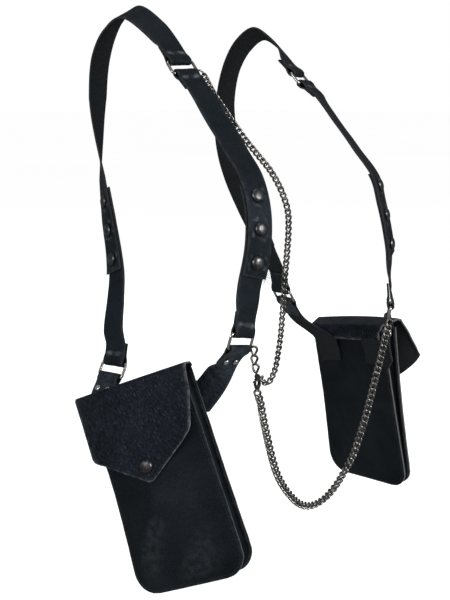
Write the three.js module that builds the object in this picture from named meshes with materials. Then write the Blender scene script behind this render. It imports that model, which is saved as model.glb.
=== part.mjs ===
// Leather shoulder harness bag: two flap pouches hung at the hips from a pair of shoulder straps,
// with wire rings, snap adjusters and two chains. Millimetres, +Z up, the wearer faces -Y.
// The origin is midway between the two straps where they cross the top of the shoulders.
//
// Both halves are worked out in one half frame (out, y, z), where out is the distance from the
// middle of the body. The left half is x = out, and the right half is x = -out.

import * as THREE from 'three';

// ---------------------------------------------------------------- driving dimensions

const LEATHER = 2.0;             // straps, flap, tabs and panels
const GUSSET_LEATHER = 1.4;
const GAP = 0.3;                 // clearance between neighbouring pieces
const STRAP_WIDTH = 25;
const LAYER = LEATHER + GAP;     // pitch of stacked leather layers
const LOOP_TAIL = 20;            // folded end of a strap, sewn back behind its ring
const STRAP_STEP = 8.5;          // spacing of the sections along a strap

const RING = { innerWidth: 27, innerHeight: 11.5, wire: 2.8, bend: 3 };
const SNAP = { radius: 6.25, rim: 0.9, height: 2.9 };
const RIVET = { radius: 2.9, rim: 0.4, height: 1.4 };
const SEAT = LEATHER / 2 + 0.6;  // underside of a snap or rivet, above the middle of its leather

const ADJUSTER = { overlap: 10 * STRAP_STEP, firstSnap: 13, snapPitch: 30, sideStep: 1.2 };

// Pouch: down is measured from the top fold, rear and front from the middle of the top fold.
const POUCH_HEIGHT = 197;
const CORNER_RADIUS = 21;
const PANEL_EDGE = [
  { down: 0, rear: 51, front: 53 },
  { down: 95, rear: 52, front: 53.5 },
  { down: 172, rear: 57, front: 54.5 },
  { down: 197, rear: 57, front: 54.5 },
];
const MOUTH = { back: 6, gusset: 8, front: 10 };    // how far below the fold line each piece starts
const SEAM = { edge: 1, turn: 5 };                  // gusset flange, from the raw panel edge
const FLAP = {
  half: 61, foldHalf: 53, lapHalf: 48, top: 1, bend: 3, lap: 18.5, tip: 94,
  rear: 60, front: 50, tipHalf: 4, snap: 79,
};

const LONG_CHAIN = { radius: 3.7, step: 17 };
const THIN_CHAIN = { radius: 2.8, step: 14 };

// One row for each half: the pouch hangs by the middle of its top fold, on the body side.
// turn swings it about the upright, lean tips its face up, roll lifts its front edge, and
// sag drops the rear end of its fold line. pinch draws the sides of the front panel in towards
// the back one, and hem lifts the rear lower corner. The flap's two lower corners curl away
// from the pouch, and side is the length of the flap from its fold to each corner.
const POUCHES = {
  right: {
    out: 140, y: -66, z: -339, turn: 66, lean: 6.5, roll: 22,
    topDepth: 27, bottomDepth: 22, pleat: 8, belly: 7, pinch: 9, sag: 0, hem: 4,
    frontSide: 59, frontCurl: 14, rearSide: 63, rearCurl: 6.5,
  },
  left: {
    out: 149, y: -76, z: -320.5, turn: 88, lean: 12.5, roll: 1.5,
    topDepth: 25, bottomDepth: 8, pleat: 6, belly: 3, pinch: 6.5, sag: 13, hem: 0,
    frontSide: 72, frontCurl: 41, rearSide: 63, rearCurl: 5,
  },
};

// Rings: centre, then turn and tilt of the long side, and lean of the short side.
const RINGS = {
  right: {
    shoulder: { out: 83, y: -65, z: -52.5, turn: -4, tilt: 2, lean: -42 },
    hip_front: { out: 108, y: -166, z: -294, turn: 2, tilt: -9, lean: 12 },
    hip_rear: { out: 131, y: -14, z: -341, turn: 98, tilt: 0, lean: 30 },
  },
  left: {
    shoulder: { out: 83, y: -65, z: -61.5, turn: -18, tilt: 2, lean: -42 },
    hip_front: { out: 108, y: -166.5, z: -295, turn: -38, tilt: 0, lean: 10 },
    hip_rear: { out: 126, y: -5, z: -300, turn: 98, tilt: 0, lean: 30 },
  },
};

// Strap runs between rings, as stations of the strap's middle line.
// turn and tilt set the way across the strap, towards the body's middle.
const FRONT_RUNS = {
  right: {
    adjusterEnd: 218.5,
    stations: [
      { out: 83, y: -86, z: -72, turn: -8, tilt: 6 },
      { out: 83.5, y: -107, z: -95, turn: -10, tilt: 6 },
      { out: 85, y: -137, z: -127, turn: -11, tilt: 4 },
      { out: 87, y: -158, z: -149.5, turn: -11, tilt: 0 },
      { out: 88.5, y: -169, z: -176, turn: -11, tilt: 0 },
      { out: 92, y: -173.5, z: -205, turn: -12, tilt: 0 },
      { out: 98.5, y: -174, z: -232, turn: -15, tilt: -2 },
      { out: 103.5, y: -169, z: -258, turn: -12, tilt: -6 },
    ],
  },
  left: {
    adjusterEnd: 212,
    stations: [
      { out: 83, y: -86, z: -78, turn: -22, tilt: 6 },
      { out: 83.5, y: -107, z: -98, turn: -24, tilt: 6 },
      { out: 84.5, y: -137, z: -129, turn: -24, tilt: 4 },
      { out: 86.5, y: -162.5, z: -158, turn: -24, tilt: 0 },
      { out: 88.5, y: -170, z: -183, turn: -24, tilt: 0 },
      { out: 93, y: -174.5, z: -210, turn: -24, tilt: 0 },
      { out: 98.5, y: -174.5, z: -236, turn: -26, tilt: 0 },
      { out: 102.5, y: -170, z: -256, turn: -36, tilt: 0 },
      { out: 104.5, y: -168, z: -266, turn: -50, tilt: 0 },
      { out: 106.5, y: -167, z: -277, turn: -66, tilt: 0 },
    ],
  },
};
const REAR_RUNS = {
  right: {
    adjusterEnd: 360,
    stations: [
      { out: 84.5, y: -46, z: -32, turn: -8, tilt: 12 },
      { out: 87, y: -32, z: -17.5, turn: -11, tilt: 22 },
      { out: 90, y: 0, z: 0, turn: -8, tilt: 28 },
      { out: 91, y: 25, z: -12, turn: 0, tilt: 22 },
      { out: 91, y: 44, z: -40, turn: 2, tilt: 10 },
      { out: 90, y: 52, z: -80, turn: 8, tilt: 2 },
      { out: 90, y: 51, z: -120, turn: 34, tilt: 0 },
      { out: 92.5, y: 44, z: -160, turn: 62, tilt: 0 },
      { out: 97.5, y: 31, z: -200, turn: 74, tilt: 0 },
      { out: 104, y: 15, z: -238, turn: 78, tilt: 0 },
      { out: 114, y: 2, z: -275, turn: 88, tilt: 0 },
      { out: 123, y: -7, z: -310, turn: 97, tilt: 0 },
    ],
  },
  left: {
    adjusterEnd: 342,
    stations: [
      { out: 84.5, y: -46, z: -44, turn: -22, tilt: 12 },
      { out: 87, y: -32, z: -31, turn: -20, tilt: 22 },
      { out: 90, y: 0, z: -14, turn: -12, tilt: 28 },
      { out: 91, y: 25, z: -25, turn: 0, tilt: 22 },
      { out: 91, y: 44, z: -51, turn: 2, tilt: 10 },
      { out: 90, y: 52, z: -88, turn: 8, tilt: 2 },
      { out: 90, y: 50, z: -125, turn: 36, tilt: 0 },
      { out: 93, y: 42, z: -162, turn: 64, tilt: 0 },
      { out: 99, y: 28, z: -198, turn: 76, tilt: 0 },
      { out: 108, y: 13, z: -233, turn: 80, tilt: 0 },
      { out: 117, y: 3, z: -265, turn: 92, tilt: 0 },
    ],
  },
};

// A tab is sewn to the body side of the back panel and runs up to a hip ring.
// upper and lower name its two edges, as places on the panel (along is front-positive).
const TABS = {
  front: {
    ring: 'hip_front',
    lap: { upper: { along: 24, down: 15 }, lower: { along: 24, down: 46 } },
    exit: { upper: { along: 52, down: 19 }, lower: { along: 55, down: 50 } },
  },
  rear: {
    ring: 'hip_rear',
    lap: { upper: { along: -14, down: 48 }, lower: { along: -42, down: 52 } },
    exit: { upper: { along: -14, down: 20 }, lower: { along: -44, down: 22 } },
  },
};
const TAB_RIVET = { fromRing: 15, aside: 6.3 };

// Chain routes, whole-body coordinates [x, y, z]. They hang in front of the body.
const CHAIN_PLANE = -168;
const CLASP_CENTRE = new THREE.Vector3(-88.7, CHAIN_PLANE, -335.5);
const HANGER_ROUTE = [
  [-93, -168, -303.6], [-92.6, -168, -310.5], [-91.2, -168, -318], [-89, -168, -326.2],
];
const LONG_ROUTE = [
  [-88.4, -168, -343.8], [-84.3, -168, -354], [-80.2, -168, -371], [-75.2, -168, -388],
  [-69.2, -168, -407], [-61.5, -168, -426.5], [-52.5, -168, -441], [-42, -168, -453.5],
  [-31, -168, -463.5], [-18, -168, -470], [-4, -168, -471.5], [10, -168, -468.5],
  [22, -168, -462.5], [33, -168, -454], [43, -168, -444.5], [52.5, -168, -434],
  [62, -168, -417], [71, -168, -399], [80.2, -168, -376], [86, -168, -360.8], [90, -169, -347],
  [92.3, -171.5, -331], [93, -175, -315], [93, -178.8, -302.1],
];
const THIN_ROUTE = [
  [-64, -74, -60.5], [-65, -80, -66.5], [-66, -88, -75.5], [-65.5, -99, -87.5],
  [-64, -112, -102.5], [-62, -125.5, -117.5], [-59, -140, -132.5], [-56.5, -153.5, -146.5],
  [-54, -164.5, -164], [-51.5, -170, -182], [-50.5, -170, -200], [-51, -169, -220],
  [-52.3, -168, -240], [-54.4, -168, -264.7], [-57.8, -168, -296.8], [-60.6, -168, -311],
  [-63.8, -168, -323.5], [-67.8, -168, -331.4], [-73, -168, -336.4], [-78, -168, -336.6],
  [-81.4, -168, -333.8], [-82.8, -168, -331.2],
];

const CLASP = {
  depth: 3, hook: { wide: 3.6, high: 5.4 }, hollow: { wide: 1.9, high: 3.5 },
  eye: { rise: 6.6, hole: 1.2 }, mouth: 42, neck: 65,
};
const LEVER = { pivot: { across: -2.75, up: 2.05 }, knuckle: 0.85, half: 0.75, reach: 4.3, depth: 2.4 };
const CLASP_RING = { radius: 2.65, wire: 0.9 };

// ---------------------------------------------------------------- materials

const finish = (color, roughness, metalness) =>
  new THREE.MeshStandardMaterial({ color, roughness, metalness });
const STRAP_LEATHER = finish(0x1e2126, 0.62, 0);
const PANEL_LEATHER = finish(0x16191c, 0.5, 0);
const FLAP_LEATHER = finish(0x191b22, 0.7, 0);
const GUNMETAL = finish(0x4a4a4d, 0.3, 1);
const NICKEL = finish(0xd2d2d0, 0.2, 1);
const CHAIN_METAL = finish(0x77777a, 0.28, 1);

// ---------------------------------------------------------------- helpers

const radians = THREE.MathUtils.degToRad;
const lerp = THREE.MathUtils.lerp;
const smooth = (x, low, high) => THREE.MathUtils.smoothstep(x, low, high);
const vector = (out, y, z) => new THREE.Vector3(out, y, z);
const sum = (start, ...terms) =>
  terms.reduce((total, [direction, length]) => total.addScaledVector(direction, length), start.clone());

/** Part of a direction at right angles to an axis, at unit length. */
function squareTo(direction, axis) {
  return direction.clone().addScaledVector(axis, -direction.dot(axis)).normalize();
}

/** Way across a strap or ring, towards the body's middle. */
function acrossFrom(turn, tilt) {
  const [a, b] = [radians(turn), radians(tilt)];
  return vector(-Math.cos(a) * Math.cos(b), Math.sin(a) * Math.cos(b), Math.sin(b));
}

/** Closed sheet of even thickness from rows of points on its middle surface. */
function sheet(rows, thickness) {
  const lastRow = rows.length - 1;
  const lastColumn = rows[0].length - 1;
  const positions = [];
  rows.forEach((row, i) => row.forEach((point, j) => {
    const along = rows[Math.min(i + 1, lastRow)][j].clone().sub(rows[Math.max(i - 1, 0)][j]);
    const across = row[Math.min(j + 1, lastColumn)].clone().sub(row[Math.max(j - 1, 0)]);
    const normal = along.cross(across).normalize();
    positions.push(...sum(point, [normal, thickness / 2]).toArray());
    positions.push(...sum(point, [normal, -thickness / 2]).toArray());
  }));
  const top = (i, j) => 2 * (i * (lastColumn + 1) + j);
  const under = (i, j) => top(i, j) + 1;
  const faces = [];
  const quad = (a, b, c, d) => faces.push(a, b, c, a, c, d);
  for (let i = 0; i < lastRow; i += 1) {
    for (let j = 0; j < lastColumn; j += 1) {
      quad(top(i, j), top(i + 1, j), top(i + 1, j + 1), top(i, j + 1));
      quad(under(i, j), under(i, j + 1), under(i + 1, j + 1), under(i + 1, j));
    }
    quad(top(i, 0), under(i, 0), under(i + 1, 0), top(i + 1, 0));
    quad(top(i, lastColumn), top(i + 1, lastColumn), under(i + 1, lastColumn), under(i, lastColumn));
  }
  for (let j = 0; j < lastColumn; j += 1) {
    quad(top(0, j), top(0, j + 1), under(0, j + 1), under(0, j));
    quad(top(lastRow, j), under(lastRow, j), under(lastRow, j + 1), top(lastRow, j + 1));
  }
  const geometry = new THREE.BufferGeometry();
  geometry.setAttribute('position', new THREE.Float32BufferAttribute(positions, 3));
  geometry.setIndex(faces);
  return geometry;
}

/** Mirrors a closed geometry in x and keeps its faces pointing out. */
function mirrored(geometry) {
  geometry.scale(-1, 1, 1);
  const index = geometry.index;
  for (let i = 0; i < index.count; i += 3) {
    const kept = index.getX(i);
    index.setX(i, index.getX(i + 1));
    index.setX(i + 1, kept);
  }
  return geometry;
}

/** Round domed head on a flat seat, its axis along +Y. */
function domedHead({ radius, rim, height }, segments) {
  const profile = [new THREE.Vector2(0, 0), new THREE.Vector2(radius, 0), new THREE.Vector2(radius, rim)];
  for (const angle of [28, 56]) {
    const [c, s] = [Math.cos(radians(angle)), Math.sin(radians(angle))];
    profile.push(new THREE.Vector2(radius * c, rim + (height - rim) * s));
  }
  profile.push(new THREE.Vector2(0, height));
  return new THREE.LatheGeometry(profile, segments);
}

/** Rectangular wire ring with rounded corners: width along X, height along Y. */
function wireRing() {
  const tubular = 16;
  const geometry = new THREE.TorusGeometry(RING.bend, RING.wire / 2, 6, tubular);
  geometry.rotateZ(Math.PI / tubular);
  const aside = (RING.innerWidth + RING.wire) / 2 - RING.bend;
  const upward = (RING.innerHeight + RING.wire) / 2 - RING.bend;
  const place = geometry.attributes.position;
  for (let i = 0; i < place.count; i += 1) {
    place.setX(i, place.getX(i) + Math.sign(place.getX(i)) * aside);
    place.setY(i, place.getY(i) + Math.sign(place.getY(i)) * upward);
  }
  return geometry;
}

/** Chain as one tube along its route. */
function chainTube(route, { radius, step }) {
  const path = new THREE.CatmullRomCurve3(route.map((point) => vector(...point)), false, 'centripetal');
  const section = new THREE.Shape();
  const sides = 8;
  for (let k = 0; k < sides; k += 1) {
    const angle = (2 * Math.PI * k) / sides;
    const [x, y] = [radius * Math.cos(angle), radius * Math.sin(angle)];
    if (k === 0) section.moveTo(x, y); else section.lineTo(x, y);
  }
  section.closePath();
  const steps = Math.round(path.getLength() / step);
  return new THREE.ExtrudeGeometry(section, { steps, extrudePath: path });
}

// ---------------------------------------------------------------- rings, runs and straps

/** Ring centre and axes: across its long side, up its short side, and its face. */
function ringFrame({ out, y, z, turn, tilt, lean }) {
  const across = acrossFrom(turn, tilt);
  const upright = squareTo(vector(0, 0, 1), across);
  const face = upright.clone().cross(across);
  const up = upright.multiplyScalar(Math.cos(radians(lean))).addScaledVector(face, Math.sin(radians(lean)));
  const centre = vector(out, y, z);
  const reach = (RING.innerHeight + RING.wire) / 2;
  return { centre, across, up, upperWire: sum(centre, [up, reach]), lowerWire: sum(centre, [up, -reach]) };
}

/** Smooth middle line of a strap with its frame at any distance along it. */
class Run {
  constructor(start, stations, end, outward) {
    const places = [start.place, ...stations.map(({ out, y, z }) => vector(out, y, z)), end.place];
    const angles = [start.angles, ...stations, end.angles];
    this.curve = new THREE.CatmullRomCurve3(places, false, 'centripetal');
    this.curve.arcLengthDivisions = 400;
    this.angles = angles.map(({ turn, tilt }) => new THREE.Vector2(turn, tilt));
    this.outward = outward;
    this.length = this.curve.getLength();
  }

  at(distance) {
    const t = this.curve.getUtoTmapping(0, distance);
    const direction = this.curve.getTangent(t);
    const spot = t * (this.angles.length - 1);
    const row = Math.min(Math.floor(spot), this.angles.length - 2);
    const [turn, tilt] = this.angles[row].clone().lerp(this.angles[row + 1], spot - row).toArray();
    const across = squareTo(acrossFrom(turn, tilt), direction);
    const normal = across.clone().cross(direction).multiplyScalar(this.outward);
    return { place: this.curve.getPoint(t), direction, across, normal };
  }
}

/**
 * Rows of a strap end that folds round a ring wire and lies back on itself.
 * towards points along the strap to the wire; the strap's own layer is on the normal side.
 */
function loopRows(wire, across, towards, normal, width = STRAP_WIDTH) {
  const layer = LAYER / 2;
  const bend = RING.wire / 2 + 1.6 * GAP + LEATHER / 2;
  const profile = [[-LOOP_TAIL, layer], [-8.5, layer], [-5.2, 1.95]];
  for (let angle = 105; angle >= -105; angle -= 35) {
    profile.push([bend * Math.cos(radians(angle)), bend * Math.sin(radians(angle))]);
  }
  profile.push([-5.2, -1.95], [-8.5, -layer], [-LOOP_TAIL, -layer]);
  return profile.map(([reach, height]) => {
    const middle = sum(wire, [towards, reach], [normal, height]);
    return [sum(middle, [across, -width / 2]), sum(middle, [across, width / 2])];
  });
}

/** Loop at one end of a run: the run's frame, squared to the ring wire. */
function loopAt(run, atStart, wire, ringAcross) {
  const inset = run.at(atStart ? LOOP_TAIL : run.length - LOOP_TAIL);
  const across = ringAcross.clone().multiplyScalar(Math.sign(ringAcross.dot(inset.across)));
  const towards = squareTo(wire.clone().sub(inset.place), across);
  const normal = across.clone().cross(towards);
  normal.multiplyScalar(Math.sign(normal.dot(inset.normal)));
  const rows = loopRows(wire, across, towards, normal);
  return atStart ? rows.reverse() : rows;
}

/** Plain rows of a strap, first and last in steps from a distance; height lifts it, aside shifts it. */
function strapRows(run, datum, first, last, height, aside) {
  return Array.from({ length: last - first + 1 }, (_, k) => {
    const distance = datum + (first + k) * STRAP_STEP;
    const { place, across, normal } = run.at(distance);
    const middle = sum(place, [normal, height(distance)], [across, aside(distance)]);
    return [sum(middle, [across, -STRAP_WIDTH / 2]), sum(middle, [across, STRAP_WIDTH / 2])];
  });
}

/** Strap that starts in a ring and ends, cut square, over the adjuster. */
function upperStrap(run, adjusterEnd, wire, ringAcross) {
  const clear = LOOP_TAIL + STRAP_STEP / 2;
  const height = (distance) => (LAYER / 2) * (1 - smooth(distance, clear, 3 * clear));
  const first = Math.ceil((clear - adjusterEnd) / STRAP_STEP);
  const rows = strapRows(run, adjusterEnd, first, 0, height, () => 0);
  return sheet([...loopAt(run, true, wire, ringAcross), ...rows], LEATHER);
}

/** Strap that starts behind the adjuster and ends in a ring. */
function lowerStrap(run, adjusterEnd, wire, ringAcross) {
  const first = Math.round(-ADJUSTER.overlap / STRAP_STEP);
  const free = run.length - LOOP_TAIL - STRAP_STEP / 2;
  const last = Math.floor((free - adjusterEnd) / STRAP_STEP);
  const height = (distance) => -LAYER + 1.5 * LAYER * smooth(distance, adjusterEnd, free);
  const aside = (distance) => -ADJUSTER.sideStep * (1 - smooth(distance, adjusterEnd, free));
  const rows = strapRows(run, adjusterEnd, first, last, height, aside);
  return sheet([...rows, ...loopAt(run, false, wire, ringAcross)], LEATHER);
}

// ---------------------------------------------------------------- pouch

/** One pouch: its frame and the surfaces that its pieces follow. */
class Pouch {
  constructor(row) {
    Object.assign(this, row);
    const [turn, lean, roll] = [row.turn, row.lean, row.roll].map(radians);
    const level = vector(-Math.cos(turn), -Math.sin(turn), 0);
    this.face = vector(Math.sin(turn) * Math.cos(lean), -Math.cos(turn) * Math.cos(lean), Math.sin(lean));
    const upright = level.clone().cross(this.face);
    this.forward = level.clone().multiplyScalar(Math.cos(roll)).addScaledVector(upright, Math.sin(roll));
    this.up = upright.multiplyScalar(Math.cos(roll)).addScaledVector(level, -Math.sin(roll));
    this.origin = vector(row.out, row.y, row.z);
  }

  /** Place on the pouch: along from the middle, down from the fold, high off the back panel. */
  at(along, down, high) {
    const fade = 1 - THREE.MathUtils.clamp(down / this.frontSide, 0, 1);
    const rearward = 0.5 - along / (2 * FLAP.half);
    const rise = this.hem * rearward * (down / POUCH_HEIGHT) ** 2 - this.sag * rearward * fade;
    return sum(this.origin, [this.forward, along], [this.up, rise - down], [this.face, high]);
  }

  /** Middle surface of the front panel. */
  frontHeight(along, down) {
    const share = THREE.MathUtils.clamp(down / POUCH_HEIGHT, 0, 1);
    const aside = Math.min(1, (along / FLAP.half) ** 2);
    const swell = this.belly * (1 - aside) * (0.35 + 0.65 * Math.sin(Math.PI * share));
    const drawn = this.pinch * aside * Math.sin(Math.PI * (0.25 + 0.75 * share));
    return lerp(this.topDepth, this.bottomDepth, share) + swell - drawn;
  }

  /** Outward lift of the flap, most at its lower corners. */
  curl(along, down) {
    const middle = (FLAP.front - FLAP.rear) / 2;
    const aside = THREE.MathUtils.clamp((along - middle) / (FLAP.front - middle), -1, 1);
    const [lift, side] = aside > 0 ? [this.frontCurl, this.frontSide] : [this.rearCurl, this.rearSide];
    const flare = Math.max(0, (Math.abs(aside) - 0.15) / 0.85) ** 2;
    return lift * flare * THREE.MathUtils.clamp(down / side, 0, 1);
  }

  /** Seat of the flap's snap, square to the leather under it. */
  snapSeat() {
    const middle = (FLAP.front - FLAP.rear) / 2;
    const spot = (along, down) => this.at(along, down, this.frontHeight(along, down) + LAYER);
    const up = spot(middle, FLAP.snap - 1).sub(spot(middle, FLAP.snap + 1));
    const forward = spot(middle + 1, FLAP.snap).sub(spot(middle - 1, FLAP.snap));
    const normal = up.cross(forward).normalize();
    return { place: sum(spot(middle, FLAP.snap), [normal, SEAT]), normal };
  }
}

/** Raw edge of a panel at a depth, drawn in by an inset, with rounded lower corners. */
function panelEdge(down, inset = 0) {
  const row = Math.max(0, PANEL_EDGE.findLastIndex((entry) => entry.down < down));
  const [a, b] = [PANEL_EDGE[row], PANEL_EDGE[row + 1]];
  const share = (down - a.down) / (b.down - a.down);
  const radius = CORNER_RADIUS - inset;
  const below = Math.max(0, down - (POUCH_HEIGHT - CORNER_RADIUS));
  const drawn = inset + radius - Math.sqrt(Math.max(0, radius ** 2 - below ** 2));
  return { rear: -lerp(a.rear, b.rear, share) + drawn, front: lerp(a.front, b.front, share) - drawn };
}

/** Depths of the rows of a panel: even steps, then round the lower corners. */
function panelDepths(top) {
  const straight = POUCH_HEIGHT - CORNER_RADIUS;
  const steps = 6;
  const even = Array.from({ length: steps + 1 }, (_, k) => lerp(top, straight, k / steps));
  const corner = [25, 50, 72, 90].map((angle) => straight + CORNER_RADIUS * Math.sin(radians(angle)));
  return [...even, ...corner];
}

function panel(pouch, top, height, columns) {
  const rows = panelDepths(top).map((down) => {
    const { rear, front } = panelEdge(down);
    return Array.from({ length: columns + 1 }, (_, k) => {
      const along = lerp(rear, front, k / columns);
      return pouch.at(along, down, height(along, down));
    });
  });
  return sheet(rows, LEATHER);
}

/** U-shaped strip between the panels, pleated inwards, its flanges sewn along their raw edges. */
function gusset(pouch) {
  const straight = POUCH_HEIGHT - CORNER_RADIUS;
  const off = LEATHER / 2 + GAP + GUSSET_LEATHER / 2;
  const stops = [];
  const steps = 6;
  for (let k = 0; k <= steps; k += 1) {
    stops.push({ down: lerp(MOUTH.gusset, straight, k / steps), angle: 0 });
  }
  for (const angle of [45, 90]) stops.push({ down: straight, angle });
  const side = (sign, inset, { down, angle }) => {
    const radius = CORNER_RADIUS - inset;
    const { rear, front } = panelEdge(Math.min(down, straight), inset);
    const edge = sign < 0 ? rear : front;
    const turned = sign * radius * (1 - Math.cos(radians(angle)));
    return { along: edge - turned, down: down + radius * Math.sin(radians(angle)) };
  };
  const row = (sign, stop) => {
    const folded = 1 - 0.7 * smooth(stop.down + stop.angle, straight - 40, straight + 60);
    const inner = SEAM.turn + pouch.pleat * folded;
    return [SEAM.edge, SEAM.turn, inner, SEAM.turn, SEAM.edge].map((inset, column) => {
      const { along, down } = side(sign, inset, stop);
      const deep = pouch.frontHeight(along, down);
      const high = [off, off + GAP, deep / 2, deep - off - GAP, deep - off][column];
      return pouch.at(along, down, high);
    });
  };
  const rear = stops.map((stop) => row(-1, stop));
  const front = stops.map((stop) => row(1, stop)).reverse();
  const middle = rear.at(-1).map((point, column) => point.clone().lerp(front[0][column], 0.5));
  return sheet([...rear, middle, ...front], GUSSET_LEATHER);
}

/** Flap: lapped on the back panel, over the mouth, and down the front to a point. */
function flap(pouch) {
  const { top, bend, half, foldHalf, lapHalf } = FLAP;
  const over = (along, down) => pouch.frontHeight(along, down) + LAYER;
  const lap = { rear: -lapHalf, front: lapHalf };
  const body = { rear: -foldHalf, front: foldHalf };
  const face = { rear: -half, front: half };
  const rows = [
    { down: [FLAP.lap, FLAP.lap], edge: lap, high: () => -LAYER },
    { down: [FLAP.lap / 2, FLAP.lap / 2], edge: lap, high: () => -LAYER },
    { down: [top + bend, top + bend], edge: body, high: () => -LAYER },
    { down: [top + 0.3 * bend, top + 0.3 * bend], edge: body, high: () => -LAYER + 0.3 * bend },
    { down: [top, top], edge: body, high: () => -LAYER + bend },
    { down: [top, top], edge: face, high: (along) => over(along, 0) - bend },
    {
      down: [top + 0.3 * bend, top + 0.3 * bend], edge: face,
      high: (along) => over(along, 0) - 0.3 * bend,
    },
  ];
  for (const share of [0, 0.2, 0.4, 0.6, 0.8, 0.95]) {
    rows.push({
      down: [lerp(top + bend, pouch.rearSide, share), lerp(top + bend, pouch.frontSide, share)],
      edge: { rear: -lerp(half, FLAP.rear, share), front: lerp(half, FLAP.front, share) },
    });
  }
  const middle = (FLAP.front - FLAP.rear) / 2;
  const wide = (FLAP.front + FLAP.rear) / 2;
  for (const share of [0.03, 0.25, 0.5, 0.75, 0.93, 1]) {
    const reach = share < 1 ? lerp(wide, FLAP.tipHalf, share) : FLAP.tipHalf / 2;
    rows.push({
      down: [lerp(pouch.rearSide, FLAP.tip, share), lerp(pouch.frontSide, FLAP.tip, share)],
      edge: { rear: middle - reach, front: middle + reach },
    });
  }
  const columns = 8;
  return sheet(rows.map(({ down, edge, high }) => Array.from({ length: columns + 1 }, (_, k) => {
    const along = lerp(edge.rear, edge.front, k / columns);
    const drop = lerp(down[0], down[1], k / columns);
    if (high) return pouch.at(along, drop, high(along));
    const lift = pouch.curl(along, drop);
    return pouch.at(along, Math.sqrt(drop ** 2 - lift ** 2), over(along, drop) + lift);
  })), LEATHER);
}

/** Tab from the back panel to a hip ring, folded round its lower wire, with two rivet seats. */
function tab(pouch, { lap, exit }, ring) {
  const columns = 4;
  const shift = (down) => -2 * LAYER + LAYER * smooth(down, FLAP.lap + 4, FLAP.lap + 15);
  const onPanel = (share, out) => {
    const [along, down] = ['along', 'down'].map((key) =>
      lerp(lerp(lap.upper[key], lap.lower[key], share), lerp(exit.upper[key], exit.lower[key], share), out));
    return pouch.at(along, down, shift(down));
  };
  const { across, lowerWire } = ring;
  const route = lowerWire.clone().sub(onPanel(0.5, 1));
  const towards = squareTo(route, across);
  const away = squareTo(route, pouch.face);
  const normal = across.clone().cross(towards);
  normal.multiplyScalar(Math.sign(normal.dot(pouch.face)));
  const loop = loopRows(lowerWire, across, towards, normal);
  const shares = Array.from({ length: columns + 1 }, (_, k) => k / columns);
  const widen = ([outer, inner]) => shares.map((share) => outer.clone().lerp(inner, share));
  const seat = widen(loop[0]);
  const [from, to] = [onPanel(0.5, 1), seat[columns / 2]];
  const reach = 0.4 * from.distanceTo(to);
  const [leave, arrive] = [sum(from, [away, reach]), sum(to, [towards, -reach])];
  const bridge = new THREE.CubicBezierCurve3(from, leave, arrive, to);
  const spread = squareTo(onPanel(1, 1).sub(onPanel(0, 1)), pouch.face);
  const width = onPanel(0, 1).distanceTo(onPanel(1, 1));
  const middleDown = (exit.upper.down + exit.lower.down) / 2;
  const twist = new THREE.Quaternion().setFromUnitVectors(spread, across.clone().multiplyScalar(
    Math.sign(seat.at(-1).clone().sub(seat[0]).dot(across))));
  const rows = [0, 0.25, 0.5, 0.75, 1].map((out) => shares.map((share) => onPanel(share, out)));
  for (const t of [0.2, 0.4, 0.6, 0.8]) {
    const way = spread.clone().applyQuaternion(new THREE.Quaternion().slerp(twist, t ** 2));
    const wide = lerp(width, STRAP_WIDTH, t);
    rows.push(shares.map((share) => {
      const step = shift(lerp(exit.upper.down, exit.lower.down, share)) - shift(middleDown);
      return sum(bridge.getPoint(t), [way, (share - 0.5) * wide], [pouch.face, step * (1 - t)]);
    }));
  }
  rows.push(...loop.map(widen));
  const rivets = [-1, 1].map((sign) => ({
    place: sum(lowerWire, [towards, -TAB_RIVET.fromRing], [across, sign * TAB_RIVET.aside],
      [normal, LAYER / 2 + SEAT]),
    normal,
  }));
  return { geometry: sheet(rows, LEATHER), rivets };
}

// ---------------------------------------------------------------- clasp

function claspBody() {
  const { hook, hollow, eye, mouth, neck, depth } = CLASP;
  const join = vector(hook.wide * Math.cos(radians(neck)), hook.high * Math.sin(radians(neck)) - eye.rise, 0);
  const start = Math.atan2(join.y, join.x);
  const shape = new THREE.Shape();
  shape.absellipse(0, 0, hook.wide, hook.high, radians(mouth), radians(neck), false, 0);
  shape.absarc(0, eye.rise, join.length(), start, Math.PI - start, false);
  shape.absellipse(0, 0, hook.wide, hook.high, radians(180 - neck), radians(360 - mouth), false, 0);
  shape.absellipse(0, 0, hollow.wide, hollow.high, radians(360 - mouth), radians(mouth), true, 0);
  shape.closePath();
  shape.holes.push(new THREE.Path().absarc(0, eye.rise, eye.hole, 0, 2 * Math.PI, true));
  const geometry = new THREE.ExtrudeGeometry(shape, { depth, bevelEnabled: false, curveSegments: 7 });
  return geometry.translate(0, 0, -depth / 2).rotateY(Math.PI);
}

/** Gate of the clasp, about its own pivot, with a thumb stud beside the knuckle. */
function claspLever() {
  const { knuckle, half, reach, depth } = LEVER;
  const shape = new THREE.Shape();
  shape.absarc(0, 0, knuckle, radians(-50), radians(150), false);
  shape.lineTo(-2.1, 0.1);
  shape.lineTo(-2.1, -1.1);
  shape.lineTo(-half, -1.4);
  shape.lineTo(-half, -reach);
  shape.lineTo(half, -reach);
  shape.closePath();
  const geometry = new THREE.ExtrudeGeometry(shape, { depth, bevelEnabled: false, curveSegments: 6 });
  return geometry.translate(0, 0, -depth / 2);
}

// ---------------------------------------------------------------- assembly

const group = new THREE.Group();

function add(name, geometry, material) {
  const mesh = new THREE.Mesh(geometry, material);
  mesh.name = name;
  group.add(mesh);
  return mesh;
}

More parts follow.
